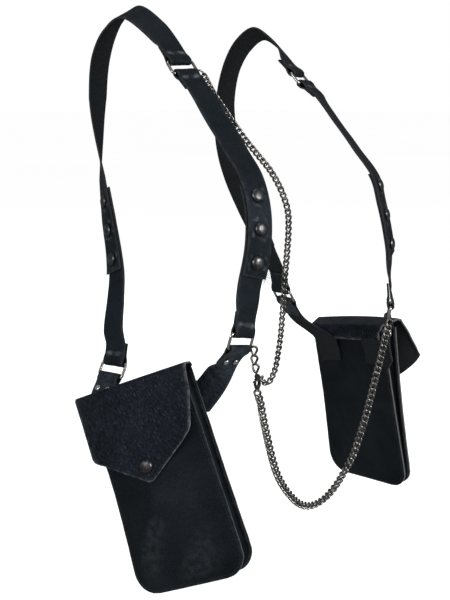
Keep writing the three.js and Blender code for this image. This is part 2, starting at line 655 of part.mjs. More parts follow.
function buildHalf(side) {
  const flip = side === 'right';
  const soft = (name, geometry, material) =>
    add(`${side}_${name}`, flip ? mirrored(geometry) : geometry, material);
  const toBody = (place) => (flip ? vector(-place.x, place.y, place.z) : place.clone());
  const head = (name, geometry, material, { place, normal }) => {
    const mesh = add(`${side}_${name}`, geometry, material);
    mesh.position.copy(toBody(place));
    mesh.quaternion.setFromUnitVectors(vector(0, 1, 0), toBody(normal));
  };

  const rings = {};
  for (const [name, row] of Object.entries(RINGS[side])) {
    const ring = ringFrame(row);
    rings[name] = ring;
    const mesh = add(`${side}_${name}_ring`, wireRing(), NICKEL);
    const [x, y] = [toBody(ring.across), toBody(ring.up)];
    mesh.quaternion.setFromRotationMatrix(new THREE.Matrix4().makeBasis(x, y, x.clone().cross(y)));
    mesh.position.copy(toBody(ring.centre));
  }

  const end = (name, wire) => ({ place: rings[name][wire], angles: RINGS[side][name] });
  const runs = {
    front: {
      data: FRONT_RUNS[side], from: 'lowerWire', to: 'hip_front', upper: 'front_upper_strap', outward: 1,
    },
    rear: {
      data: REAR_RUNS[side], from: 'upperWire', to: 'hip_rear', upper: 'shoulder_strap', outward: -1,
    },
  };
  for (const [name, { data, from, to, upper, outward }] of Object.entries(runs)) {
    const run = new Run(end('shoulder', from), data.stations, end(to, 'upperWire'), outward);
    const { adjusterEnd } = data;
    soft(upper, upperStrap(run, adjusterEnd, rings.shoulder[from], rings.shoulder.across), STRAP_LEATHER);
    const lower = lowerStrap(run, adjusterEnd, rings[to].upperWire, rings[to].across);
    soft(`${name}_lower_strap`, lower, STRAP_LEATHER);
    for (let k = 0; k < 3; k += 1) {
      const frame = run.at(adjusterEnd - ADJUSTER.firstSnap - (2 - k) * ADJUSTER.snapPitch);
      const place = sum(frame.place, [frame.normal, SEAT]);
      head(`${name}_snap_${k + 1}`, domedHead(SNAP, 12), GUNMETAL, { place, normal: frame.normal });
    }
  }

  const pouch = new Pouch(POUCHES[side]);
  soft('back_panel', panel(pouch, MOUTH.back, () => 0, 6), PANEL_LEATHER);
  const front = (along, down) => pouch.frontHeight(along, down);
  soft('front_panel', panel(pouch, MOUTH.front, front, 8), PANEL_LEATHER);
  soft('gusset', gusset(pouch), PANEL_LEATHER);
  soft('flap', flap(pouch), FLAP_LEATHER);
  head('flap_snap', domedHead(SNAP, 12), GUNMETAL, pouch.snapSeat());
  for (const [name, row] of Object.entries(TABS)) {
    const { geometry, rivets } = tab(pouch, row, rings[row.ring]);
    soft(`${name}_tab`, geometry, STRAP_LEATHER);
    rivets.forEach((rivet, k) => head(`${name}_tab_rivet_${k + 1}`, domedHead(RIVET, 10), NICKEL, rivet));
  }
}

function buildChains() {
  add('hanger_chain', chainTube(HANGER_ROUTE, { ...LONG_CHAIN, step: 8 }), CHAIN_METAL);
  add('long_chain', chainTube(LONG_ROUTE, LONG_CHAIN), CHAIN_METAL);
  add('thin_chain', chainTube(THIN_ROUTE, THIN_CHAIN), CHAIN_METAL);

  const clasp = new THREE.Group();
  clasp.position.copy(CLASP_CENTRE);
  clasp.rotation.x = Math.PI / 2;
  group.add(clasp);
  const place = (name, geometry, x, y) => {
    const mesh = add(name, geometry, GUNMETAL);
    mesh.position.set(x, y, 0);
    clasp.add(mesh);
    return mesh;
  };
  place('clasp_body', claspBody(), 0, 0);
  place('clasp_lever', claspLever(), LEVER.pivot.across, LEVER.pivot.up);
  const arm = (CLASP.hook.high + CLASP.hollow.high) / 2;
  const hoop = new THREE.TorusGeometry(CLASP_RING.radius, CLASP_RING.wire / 2, 6, 14);
  const link = place('clasp_ring', hoop, 0, -arm);
  link.rotation.y = Math.PI / 2;
}

buildHalf('right');
buildHalf('left');
buildChains();

export default group;
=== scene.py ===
"""Looks of the leather shoulder harness bag: straps, pouches, hardware, chains, stitches and studio."""
import math

import bpy
import numpy as np
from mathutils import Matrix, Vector


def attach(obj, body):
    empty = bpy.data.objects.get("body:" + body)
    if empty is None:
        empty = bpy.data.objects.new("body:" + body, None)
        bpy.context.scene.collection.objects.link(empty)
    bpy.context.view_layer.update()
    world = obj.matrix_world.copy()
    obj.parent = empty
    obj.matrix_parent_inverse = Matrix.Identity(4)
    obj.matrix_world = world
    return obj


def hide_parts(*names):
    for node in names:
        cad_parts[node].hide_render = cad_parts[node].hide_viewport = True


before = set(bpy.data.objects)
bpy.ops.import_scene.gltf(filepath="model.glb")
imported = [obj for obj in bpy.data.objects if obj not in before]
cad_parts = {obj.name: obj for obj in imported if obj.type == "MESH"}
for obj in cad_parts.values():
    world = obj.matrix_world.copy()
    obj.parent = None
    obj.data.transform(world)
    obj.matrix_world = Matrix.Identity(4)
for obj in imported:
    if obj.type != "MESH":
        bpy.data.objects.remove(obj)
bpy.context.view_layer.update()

# ---- sizes in millimetres, as in the part

LEATHER, GUSSET_LEATHER, GAP, STRAP_WIDTH = 2.0, 1.4, 0.3, 25.0
LAYER = LEATHER + GAP
LOOP_TAIL, STRAP_STEP = 20.0, 8.5
RING = dict(width=27, height=11.5, wire=2.8, bend=3.0)
SEAT = LEATHER / 2 + 0.6
OVERLAP, FIRST_SNAP, SNAP_PITCH, SIDE_STEP = 85.0, 13.0, 30.0, 1.2
POUCH_HEIGHT, CORNER_RADIUS = 197.0, 21.0
PANEL_EDGE = [(0, 51, 53), (95, 52, 53.5), (172, 57, 54.5), (197, 57, 54.5)]  # down, rear, front
MOUTH = dict(back=6, gusset=8, front=10)
SEAM = dict(edge=1, turn=5)
SNAP = dict(radius=6.25, rim=0.9, height=2.9)
RIVET = dict(radius=2.9, rim=0.4, height=1.4)
RIVET_FROM_RING, RIVET_ASIDE = 15.0, 6.3
STITCH = dict(pitch=3.6, length=2.6, radius=0.32)
THREAD_RADIUS = 0.13
RIM_WIDTH = 1.3  # of the wear along a raw edge
FLAP = dict(half=61, fold_half=53, lap_half=48, top=1, bend=3, lap=18.5, tip=94, rear=60, front=50,
            tip_half=4, snap=79)
FLAP_MIDDLE = (FLAP["front"] - FLAP["rear"]) / 2

POUCHES = {
    "right": dict(origin=(140, -66, -339), turn=66, lean=6.5, roll=22, top=27, bottom=22, pleat=8,
                  belly=7, pinch=9, sag=0, hem=4, front_side=59, front_curl=14, rear_side=63, rear_curl=6.5),
    "left": dict(origin=(149, -76, -320.5), turn=88, lean=12.5, roll=1.5, top=25, bottom=8, pleat=6,
                 belly=3, pinch=6.5, sag=13, hem=0, front_side=72, front_curl=41, rear_side=63, rear_curl=5),
}
# Ring centre, turn, tilt and lean.
RINGS = {
    "right": dict(shoulder=(83, -65, -52.5, -4, 2, -42), hip_front=(108, -166, -294, 2, -9, 12),
                  hip_rear=(131, -14, -341, 98, 0, 30)),
    "left": dict(shoulder=(83, -65, -61.5, -18, 2, -42), hip_front=(108, -166.5, -295, -38, 0, 10),
                 hip_rear=(126, -5, -300, 98, 0, 30)),
}
# Distance of each upper strap's cut end, then its stations: out, y, z, turn, tilt.
FRONT_RUNS = {
    "right": (218.5, [
        (83, -86, -72, -8, 6), (83.5, -107, -95, -10, 6), (85, -137, -127, -11, 4),
        (87, -158, -149.5, -11, 0), (88.5, -169, -176, -11, 0), (92, -173.5, -205, -12, 0),
        (98.5, -174, -232, -15, -2), (103.5, -169, -258, -12, -6)]),
    "left": (212, [
        (83, -86, -78, -22, 6), (83.5, -107, -98, -24, 6), (84.5, -137, -129, -24, 4),
        (86.5, -162.5, -158, -24, 0), (88.5, -170, -183, -24, 0), (93, -174.5, -210, -24, 0),
        (98.5, -174.5, -236, -26, 0), (102.5, -170, -256, -36, 0), (104.5, -168, -266, -50, 0),
        (106.5, -167, -277, -66, 0)]),
}
REAR_RUNS = {
    "right": (360, [
        (84.5, -46, -32, -8, 12), (87, -32, -17.5, -11, 22), (90, 0, 0, -8, 28), (91, 25, -12, 0, 22),
        (91, 44, -40, 2, 10), (90, 52, -80, 8, 2), (90, 51, -120, 34, 0), (92.5, 44, -160, 62, 0),
        (97.5, 31, -200, 74, 0), (104, 15, -238, 78, 0), (114, 2, -275, 88, 0), (123, -7, -310, 97, 0)]),
    "left": (342, [
        (84.5, -46, -44, -22, 12), (87, -32, -31, -20, 22), (90, 0, -14, -12, 28), (91, 25, -25, 0, 22),
        (91, 44, -51, 2, 10), (90, 52, -88, 8, 2), (90, 50, -125, 36, 0), (93, 42, -162, 64, 0),
        (99, 28, -198, 76, 0), (108, 13, -233, 80, 0), (117, 3, -265, 92, 0)]),
}
# Tabs: ring, then lap upper, lap lower, exit upper and exit lower as (along, down).
TABS = {
    "front": ("hip_front", (24, 15), (24, 46), (52, 19), (55, 50)),
    "rear": ("hip_rear", (-14, 48), (-42, 52), (-14, 20), (-44, 22)),
}
# Each run of straps leaves the shoulder ring at a wire and ends at a hip ring; outward is the
# side that its grain looks to.
RUNS = {
    "front": dict(halves=FRONT_RUNS, wire="lower", end="hip_front", outward=1, upper="front_upper_strap"),
    "rear": dict(halves=REAR_RUNS, wire="upper", end="hip_rear", outward=-1, upper="shoulder_strap"),
}
HANGER_ROUTE = [(-93, -168, -303.6), (-92.6, -168, -310.5), (-91.2, -168, -318), (-89, -168, -326.2)]
LONG_ROUTE = [
    (-88.4, -168, -343.8), (-84.3, -168, -354), (-80.2, -168, -371), (-75.2, -168, -388),
    (-69.2, -168, -407), (-61.5, -168, -426.5), (-52.5, -168, -441), (-42, -168, -453.5),
    (-31, -168, -463.5), (-18, -168, -470), (-4, -168, -471.5), (10, -168, -468.5), (22, -168, -462.5),
    (33, -168, -454), (43, -168, -444.5), (52.5, -168, -434), (62, -168, -417), (71, -168, -399),
    (80.2, -168, -376), (86, -168, -360.8), (90, -169, -347), (92.3, -171.5, -331), (93, -175, -315),
    (93, -178.8, -302.1)]
THIN_ROUTE = [
    (-64, -74, -60.5), (-65, -80, -66.5), (-66, -88, -75.5), (-65.5, -99, -87.5), (-64, -112, -102.5),
    (-62, -125.5, -117.5), (-59, -140, -132.5), (-56.5, -153.5, -146.5), (-54, -164.5, -164),
    (-51.5, -170, -182), (-50.5, -170, -200), (-51, -169, -220), (-52.3, -168, -240),
    (-54.4, -168, -264.7), (-57.8, -168, -296.8), (-60.6, -168, -311),
    (-63.8, -168, -323.5), (-67.8, -168, -331.4), (-73, -168, -336.4), (-78, -168, -336.6),
    (-81.4, -168, -333.8), (-82.8, -168, -331.2)]

# Where an end link of a chain reaches past its route, to hook its ring or the clasp.
HANGER_HOOK = [(-93.4, -167, -299.6)]
LONG_HOOKS = [(-88.9, -168, -340.6)], [(94.6, -177.4, -299.2)]
THIN_HOOKS = [(-67.6, -68.2, -55.6)], [(-84.6, -168, -330.2)]


# ---- small maths

def vec(*values):
    return np.array(values, float)


def unit(v):
    return v / np.maximum(np.linalg.norm(v, axis=-1, keepdims=True), 1e-12)


def lerp(a, b, t):
    return a + (b - a) * t


def smooth(x, low, high):
    t = np.clip((np.asarray(x, float) - low) / (high - low), 0, 1)
    return t * t * (3 - 2 * t)


def square_to(v, axis):
    return unit(v - np.sum(v * axis, axis=-1, keepdims=True) * axis)


def turned(v, axis, angle):
    """v turned round a unit axis."""
    along = axis * np.dot(axis, v)
    return v * math.cos(angle) + np.cross(axis, v) * math.sin(angle) + along * (1 - math.cos(angle))


def cosine(degrees):
    return math.cos(math.radians(degrees))


def sine(degrees):
    return math.sin(math.radians(degrees))


def distances(points):
    """How far along a path each of its points lies."""
    return np.concatenate([[0], np.cumsum(np.linalg.norm(np.diff(points, axis=0), axis=1))])


def sampled(at, along, table):
    """Rows of a table, read at places along it."""
    return np.array([np.interp(at, along, column) for column in table.T]).T


def blurred(values, start, stop):
    """Evens out some rows with their neighbours."""
    before, here, after = (values[start + k:stop + k] for k in (-1, 0, 1))
    values[start:stop] = (before + 2 * here + after) / 4


def noise(x, y, seed=0):
    """Smooth value noise from 0 to 1 over a plane."""
    x, y = np.broadcast_arrays(np.asarray(x, float), np.asarray(y, float))
    xi, yi = np.floor(x), np.floor(y)
    u, v = x - xi, y - yi
    u, v = u * u * (3 - 2 * u), v * v * (3 - 2 * v)

    def corner(i, j):
        h = np.sin((xi + i) * 127.1 + (yi + j) * 311.7 + seed * 74.7) * 43758.5453
        return h - np.floor(h)
    return lerp(lerp(corner(0, 0), corner(1, 0), u), lerp(corner(0, 1), corner(1, 1), u), v)


# ---- runs, rings and pouches, as in the part

def across_from(turn, tilt):
    """Direction across a strap or ring, turned about the upright and tilted."""
    return vec(-cosine(turn) * cosine(tilt), sine(turn) * cosine(tilt), sine(tilt))


class Curve:
    """Centripetal Catmull-Rom curve, sampled by length."""

    def __init__(self, points, per=40):
        p = np.array(points, float)
        ext = np.vstack([2 * p[0] - p[1], p, 2 * p[-1] - p[-2]])
        places, params = [], []
        u = np.linspace(0, 1, per, endpoint=False)[:, None]
        for i in range(len(p) - 1):
            p0, p1, p2, p3 = ext[i:i + 4]
            d0, d1, d2 = (np.sum((b - a) ** 2) ** 0.25 for a, b in ((p0, p1), (p1, p2), (p2, p3)))
            t1 = ((p1 - p0) / d0 - (p2 - p0) / (d0 + d1) + (p2 - p1) / d1) * d1
            t2 = ((p2 - p1) / d1 - (p3 - p1) / (d1 + d2) + (p3 - p2) / d2) * d1
            places.append(p1 + t1 * u + (-3 * p1 + 3 * p2 - 2 * t1 - t2) * u ** 2
                          + (2 * p1 - 2 * p2 + t1 + t2) * u ** 3)
            params.append(i + u[:, 0])
        self.places = np.vstack(places + [p[-1:]])
        self.params = np.concatenate(params + [[len(p) - 1]])
        self.lengths = distances(self.places)
        self.tangents = unit(np.gradient(self.places, self.lengths, axis=0))
        self.length = self.lengths[-1]

    def at(self, distance):
        """Place, direction and number of the route's point at a distance."""
        place, way = (sampled(distance, self.lengths, rows) for rows in (self.places, self.tangents))
        return place, unit(way), np.interp(distance, self.lengths, self.params)


def ring_frame(row):
    """Centre, directions and wires of a ring."""
    across = across_from(row[3], row[4])
    upright = square_to(vec(0, 0, 1), across)
    up = upright * cosine(row[5]) + np.cross(upright, across) * sine(row[5])
    centre = vec(*row[:3])
    reach = (RING["height"] + RING["wire"]) / 2
    return dict(centre=centre, across=across, up=up, upper=centre + up * reach, lower=centre - up * reach,
                angles=row[3:5])


class Run:
    """Middle line of a strap with its frame at any distance."""

    def __init__(self, start, stations, end, outward):
        points = [start[0]] + [row[:3] for row in stations] + [end[0]]
        self.angles = np.array([start[1]] + [row[3:5] for row in stations] + [end[1]], float)
        self.curve = Curve(points)
        self.length = self.curve.length
        self.outward = outward

    def at(self, distance):
        """Place, direction, direction across and grain side's normal at a distance."""
        place, way, param = self.curve.at(distance)
        turn, tilt = sampled(param, np.arange(len(self.angles)), self.angles)
        across = square_to(across_from(float(turn), float(tilt)), way)
        return place, way, across, np.cross(across, way) * self.outward


def loop_rows(wire, across, towards, normal):
    """(middle, across) rows of a strap end folded round a ring wire, from its own layer to its tail."""
    layer, bend = LAYER / 2, RING["wire"] / 2 + 1.6 * GAP + LEATHER / 2
    neck = [(r, layer) for r in np.linspace(-LOOP_TAIL, -9.5, 10)]
    neck += [(-8.3, layer + 0.02), (-7.3, layer + 0.18), (-6.3, 1.6), (-5.2, 2.02), (-4.1, 2.42),
             (-3.0, 2.68), (-1.9, 2.84)]
    fold = [(bend * math.cos(a), bend * math.sin(a)) for a in np.radians(np.arange(105, -106, -15))]
    profile = neck + fold + [(r, -h) for r, h in reversed(neck)]
    return [(wire + towards * r + normal * h, across) for r, h in profile]


class Pouch:
    """A hanging pouch: along its fold, down from it, and high off the back panel."""

    def __init__(self, row):
        self.__dict__.update(row)
        turn, lean, roll = self.turn, self.lean, self.roll
        level = vec(-cosine(turn), -sine(turn), 0)
        self.face = vec(sine(turn) * cosine(lean), -cosine(turn) * cosine(lean), sine(lean))
        upright = np.cross(level, self.face)
        self.forward = level * cosine(roll) + upright * sine(roll)
        self.up = upright * cosine(roll) - level * sine(roll)
        self.origin = vec(*self.origin)

    def at(self, along, down, high):
        along, down, high = np.broadcast_arrays(*(np.asarray(v, float) for v in (along, down, high)))
        fade = 1 - np.clip(down / self.front_side, 0, 1)
        rearward = 0.5 - along / (2 * FLAP["half"])
        rise = self.hem * rearward * (down / POUCH_HEIGHT) ** 2 - self.sag * rearward * fade
        return (self.origin + along[..., None] * self.forward + (rise - down)[..., None] * self.up
                + high[..., None] * self.face)

    def front_height(self, along, down):
        """Height of the front panel, with its belly and its pinched sides."""
        share = np.clip(np.asarray(down, float) / POUCH_HEIGHT, 0, 1)
        aside = np.minimum(1, (np.asarray(along, float) / FLAP["half"]) ** 2)
        swell = self.belly * (1 - aside) * (0.35 + 0.65 * np.sin(np.pi * share))
        drawn = self.pinch * aside * np.sin(np.pi * (0.25 + 0.75 * share))
        return lerp(self.top, self.bottom, share) + swell - drawn

    def over_front(self, along, down):
        """Height of the flap where it lies on the front panel."""
        return self.front_height(along, down) + LAYER

    def curl(self, along, down):
        """How far the flap's lower corners stand away."""
        aside = np.clip((np.asarray(along, float) - FLAP_MIDDLE) / (FLAP["front"] - FLAP_MIDDLE), -1, 1)
        lift = np.where(aside > 0, self.front_curl, self.rear_curl)
        side = np.where(aside > 0, self.front_side, self.rear_side)
        flare = np.maximum(0, (np.abs(aside) - 0.15) / 0.85) ** 2
        return lift * flare * np.clip(np.asarray(down, float) / side, 0, 1)


def panel_edge(down, inset=0.0):
    """Rear and front raw edge at a depth, drawn in by an inset."""
    table = np.array(PANEL_EDGE, float)
    rear, front = (np.interp(down, table[:, 0], table[:, k]) for k in (1, 2))
    radius = CORNER_RADIUS - inset
    below = np.maximum(0, down - (POUCH_HEIGHT - CORNER_RADIUS))
    drawn = inset + radius - np.sqrt(np.maximum(0, radius ** 2 - below ** 2))
    return -rear + drawn, front - drawn


# ---- mesh building

def placed(name, data):
    """A new object in the scene."""
    obj = bpy.data.objects.new(name, data)
    bpy.context.scene.collection.objects.link(obj)
    return obj


def add_mesh(name, points, faces, look, nodes, picks=None, uvs=None, marks=None):
    """
    Adds a mesh from points in millimetres, mirrored where its name says the wearer's right.
    look is a slot, which is not used, and its materials; nodes are the CAD nodes that the piece stands for.
    """
    slot, materials = look
    points = np.asarray(points, float) * 0.001
    if name.startswith("right_"):
        points = points * vec(-1, 1, 1)
        faces = [tuple(reversed(f)) for f in faces]
    mesh = bpy.data.meshes.new(name)
    mesh.from_pydata(points.tolist(), [], faces)
    for material in materials:
        mesh.materials.append(material)
    if picks is not None:
        mesh.polygons.foreach_set("material_index", np.asarray(picks, np.int32))
    if uvs is not None:
        layer = mesh.uv_layers.new(name="cut")
        index = np.empty(len(mesh.loops), np.int32)
        mesh.loops.foreach_get("vertex_index", index)
        layer.data.foreach_set("uv", np.asarray(uvs, np.float32)[index].ravel())
    for key, values in (marks or {}).items():
        mesh.attributes.new(key, "FLOAT", "POINT").data.foreach_set("value", np.asarray(values, np.float32))
    mesh.polygons.foreach_set("use_smooth", np.ones(len(mesh.polygons), bool))
    mesh.update()
    obj = placed(name, mesh)
    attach(obj, "harness")
    if nodes:
        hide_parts(*nodes)


def band(first, second):
    """Faces between two closed rows of point numbers."""
    corners = first, np.roll(first, -1), np.roll(second, -1), second
    return [tuple(int(corner) for corner in face) for face in zip(*corners)]


EDGE_PROFILE = [(-0.13, 0.85), (0.0, 0.45), (0.03, 0.0), (0.0, -0.45), (-0.13, -0.85)]


def leather_sheet(node, grid, look, facing, thick=LEATHER, relief=None, burnish=None):
    """
    Leather of even thickness on a grid of middle points, with softened raw edges.
    facing is a row and the direction that its grain side looks in; relief lifts the grain side.
    The last argument is how far each point is made lighter, a painted highlight that is partly rub wear, or
    None to paint it where the relief rises.
    """
    g = np.asarray(grid, float)
    rows, cols = g.shape[:2]
    middle = cols // 2
    v = distances(g[:, middle])
    u = np.array([distances(row) for row in g])
    half_width = u[:, -1:] / 2
    uv = np.stack([u - half_width, np.repeat(v[:, None], cols, axis=1)], axis=2) * 0.001
    from_edge = np.minimum(half_width - np.abs(u - half_width), np.minimum(v, v[-1] - v)[:, None])
    rim = np.exp(-from_edge / RIM_WIDTH)
    rise = np.zeros((rows, cols)) if relief is None else relief
    # Painted highlight, partly rub wear: raised relief, such as a strap's fold round its ring and the
    # puckers round its snaps, is lightened in colour.
    highlight_and_wear = np.clip((rise - 0.35) / 0.7, 0, 1) if burnish is None else burnish
    row, outward = facing
    row = row % rows
    before, after = max(row - 1, 0), min(row + 1, rows - 1)
    seen = np.cross(g[after, middle] - g[before, middle], g[row, middle + 1] - g[row, middle - 1])
    if seen @ outward < 0:
        g, uv, rise, rim, highlight_and_wear = (values[:, ::-1] for values in (g, uv, rise, rim, highlight_and_wear))
    along, across = np.gradient(g, axis=(0, 1))
    normal = unit(np.cross(along, across))
    ring = ([(0, j) for j in range(cols - 1)] + [(i, cols - 1) for i in range(rows - 1)]
            + [(rows - 1, j) for j in range(cols - 1, 0, -1)] + [(i, 0) for i in range(rows - 1, 0, -1)])
    ri, rj = np.array(ring).T
    past_end = 1 * (ri == rows - 1) - (ri == 0)
    past_side = 1 * (rj == cols - 1) - (rj == 0)
    out = unit(along[ri, rj]) * past_end[:, None] + unit(across[ri, rj]) * past_side[:, None]
    near = np.full((rows, cols), 9.0)
    for end, inner in ((0, 1), (-1, -2)):
        near[:, end] = np.linalg.norm(g[:, end] - g[:, inner], axis=1)
        near[end] = np.minimum(near[end], np.linalg.norm(g[end] - g[inner], axis=1))
    half = thick / 2
    soft = np.minimum(min(0.5, thick / 4), 0.45 * near[ri, rj])[:, None]
    top, under = g + normal * (half + rise)[..., None], g - normal * half
    top[ri, rj] -= out * soft
    under[ri, rj] -= out * soft
    points = [top.reshape(-1, 3), under.reshape(-1, 3)]
    uvs = [uv.reshape(-1, 2)] * 2
    for aside, level in EDGE_PROFILE:
        points.append(g[ri, rj] + out * (2 * aside * soft) + normal[ri, rj] * (level * half))
        uvs.append(uv[ri, rj])
    n, m = rows * cols, len(ring)
    edge = np.ones(m * len(EDGE_PROFILE))
    # The second mark carries the painted highlight, partly rub wear, on the grain side only.
    marks = {"rim": np.concatenate([rim.ravel(), rim.ravel(), edge]),
             "burnish": np.concatenate([highlight_and_wear.ravel(), 0 * highlight_and_wear.ravel(), 0 * edge])}
    faces, picks = [], []
    for i in range(rows - 1):
        for j in range(cols - 1):
            a = i * cols + j
            faces += [(a, a + cols, a + cols + 1, a + 1), (n + a, n + a + 1, n + a + cols + 1, n + a + cols)]
            picks += [0, 2]
    hoops = [2 * n + k * m + np.arange(m) for k in range(len(EDGE_PROFILE))]
    hoops = [ri * cols + rj, *hoops, n + ri * cols + rj]
    for upper, lower in zip(hoops, hoops[1:]):
        faces += band(upper, lower)
    picks += [0] * m + [1] * (m * (len(hoops) - 3)) + [2] * m
    add_mesh(node + "_leather", np.vstack(points), faces, look, [node], picks, np.vstack(uvs), marks)


def sweep(paths, normals, radius, sides):
    """Closed wires: one mesh of every closed path, swept with a round section."""
    points, faces, base = [], [], 0
    for path, normal in zip(paths, normals):
        path = np.asarray(path, float)
        way = unit(np.roll(path, -1, axis=0) - np.roll(path, 1, axis=0))
        side = square_to(np.broadcast_to(normal, path.shape), way)
        other = np.cross(way, side)
        for a in np.arange(sides) * 2 * np.pi / sides:
            points.append(path + radius * (math.cos(a) * side + math.sin(a) * other))
        hoops = base + np.arange(sides * len(path)).reshape(sides, -1)
        for k in range(sides):
            faces += band(hoops[k], hoops[(k + 1) % sides])
        base += hoops.size
    return np.vstack(points), faces


def lathe(profile, place, axis, segments):
    """Solid of revolution from (radius, height) points, closed on its axis at both ends."""
    axis = unit(vec(*axis))
    side = square_to(vec(0.31, 0.22, 0.93), axis)
    other = np.cross(axis, side)
    turn = np.arange(segments) * 2 * np.pi / segments
    points = [place + axis * profile[0][1]]
    for r, h in profile[1:-1]:
        points += [place + axis * h + r * (math.cos(a) * side + math.sin(a) * other) for a in turn]
    points.append(place + axis * profile[-1][1])
    hoops = 1 + np.arange(segments * (len(profile) - 2)).reshape(-1, segments)
    faces, last = [], len(points) - 1
    for q in range(segments):
        w = (q + 1) % segments
        faces.append((0, 1 + w, 1 + q))
        faces += [tuple(int(k) for k in (a[q], a[w], b[w], b[q])) for a, b in zip(hoops, hoops[1:])]
        faces.append((int(hoops[-1][q]), int(hoops[-1][w]), last))
    return np.array(points), faces


def merged(parts):
    """Points and faces of several meshes as one."""
    points, faces, base = [], [], 0
    for p, f in parts:
        points.append(p)
        faces += [tuple(base + i for i in face) for face in f]
        base += len(p)
    return np.vstack(points), faces


# ---- materials

MIX_SOCKETS = {"VECTOR": (4, 5, 1), "RGBA": (6, 7, 2)}  # first, second and result


class Nodes:
    """Short way to write a material's node tree."""

    def __init__(self, name):
        self.material = bpy.data.materials.new(name)
        self.material.use_nodes = True
        self.tree = self.material.node_tree
        self.shader = self.tree.nodes["Principled BSDF"]

    def add(self, kind, **inputs):
        node = self.tree.nodes.new(kind)
        for key, value in inputs.items():
            if key.startswith("set_"):
                setattr(node, key[4:], value)
            else:
                self.link(value, node.inputs[key.replace("_", " ")])
        return node

    def link(self, value, socket):
        """Gives a socket a link or a value; a colour gets its alpha here."""
        if isinstance(value, bpy.types.NodeSocket):
            self.tree.links.new(value, socket)
        elif isinstance(value, tuple) and len(value) < len(socket.default_value):
            socket.default_value = (*value, 1.0)
        else:
            socket.default_value = value

    def finish(self, **inputs):
        """Gives the shader its inputs."""
        for key, value in inputs.items():
            self.link(value, self.shader.inputs[key.replace("_", " ")])
        return self.material

    def space(self, kind):
        return self.add("ShaderNodeTexCoord").outputs[kind]

    def noise(self, vector, scale, detail, rough, output="Fac", distortion=0.0):
        return self.add("ShaderNodeTexNoise", Vector=vector, Scale=scale, Detail=detail, Roughness=rough,
                        Distortion=distortion).outputs[output]

    def mark(self, name):
        return self.add("ShaderNodeAttribute", set_attribute_name=name).outputs["Fac"]

    def ramp(self, factor, stops):
        node = self.add("ShaderNodeValToRGB", Fac=factor)
        while len(node.color_ramp.elements) < len(stops):
            node.color_ramp.elements.new(0.5)
        for element, (position, colour) in zip(node.color_ramp.elements, stops):
            element.position, element.color = position, (*colour, 1.0)
        return node.outputs["Color"]

    def linked(self, node, values, result=0):
        for value, socket in zip(values, node.inputs):
            self.link(value, socket)
        return node.outputs[result]

    def remap(self, *values):
        """value, low, high, to low, to high."""
        return self.linked(self.add("ShaderNodeMapRange"), values)

    def maths(self, operation, *values):
        return self.linked(self.add("ShaderNodeMath", set_operation=operation), values)

    def mix(self, kind, factor, first, second):
        node = self.add("ShaderNodeMix", set_data_type=kind, Factor=factor)
        a, b, result = MIX_SOCKETS[kind]
        self.link(first, node.inputs[a])
        self.link(second, node.inputs[b])
        return node.outputs[result]

    def bump(self, height, distance, strength, after=None):
        node = self.add("ShaderNodeBump", Height=height, Distance=distance, Strength=strength)
        if after is not None:
            self.tree.links.new(after, node.inputs["Normal"])
        return node.outputs["Normal"]


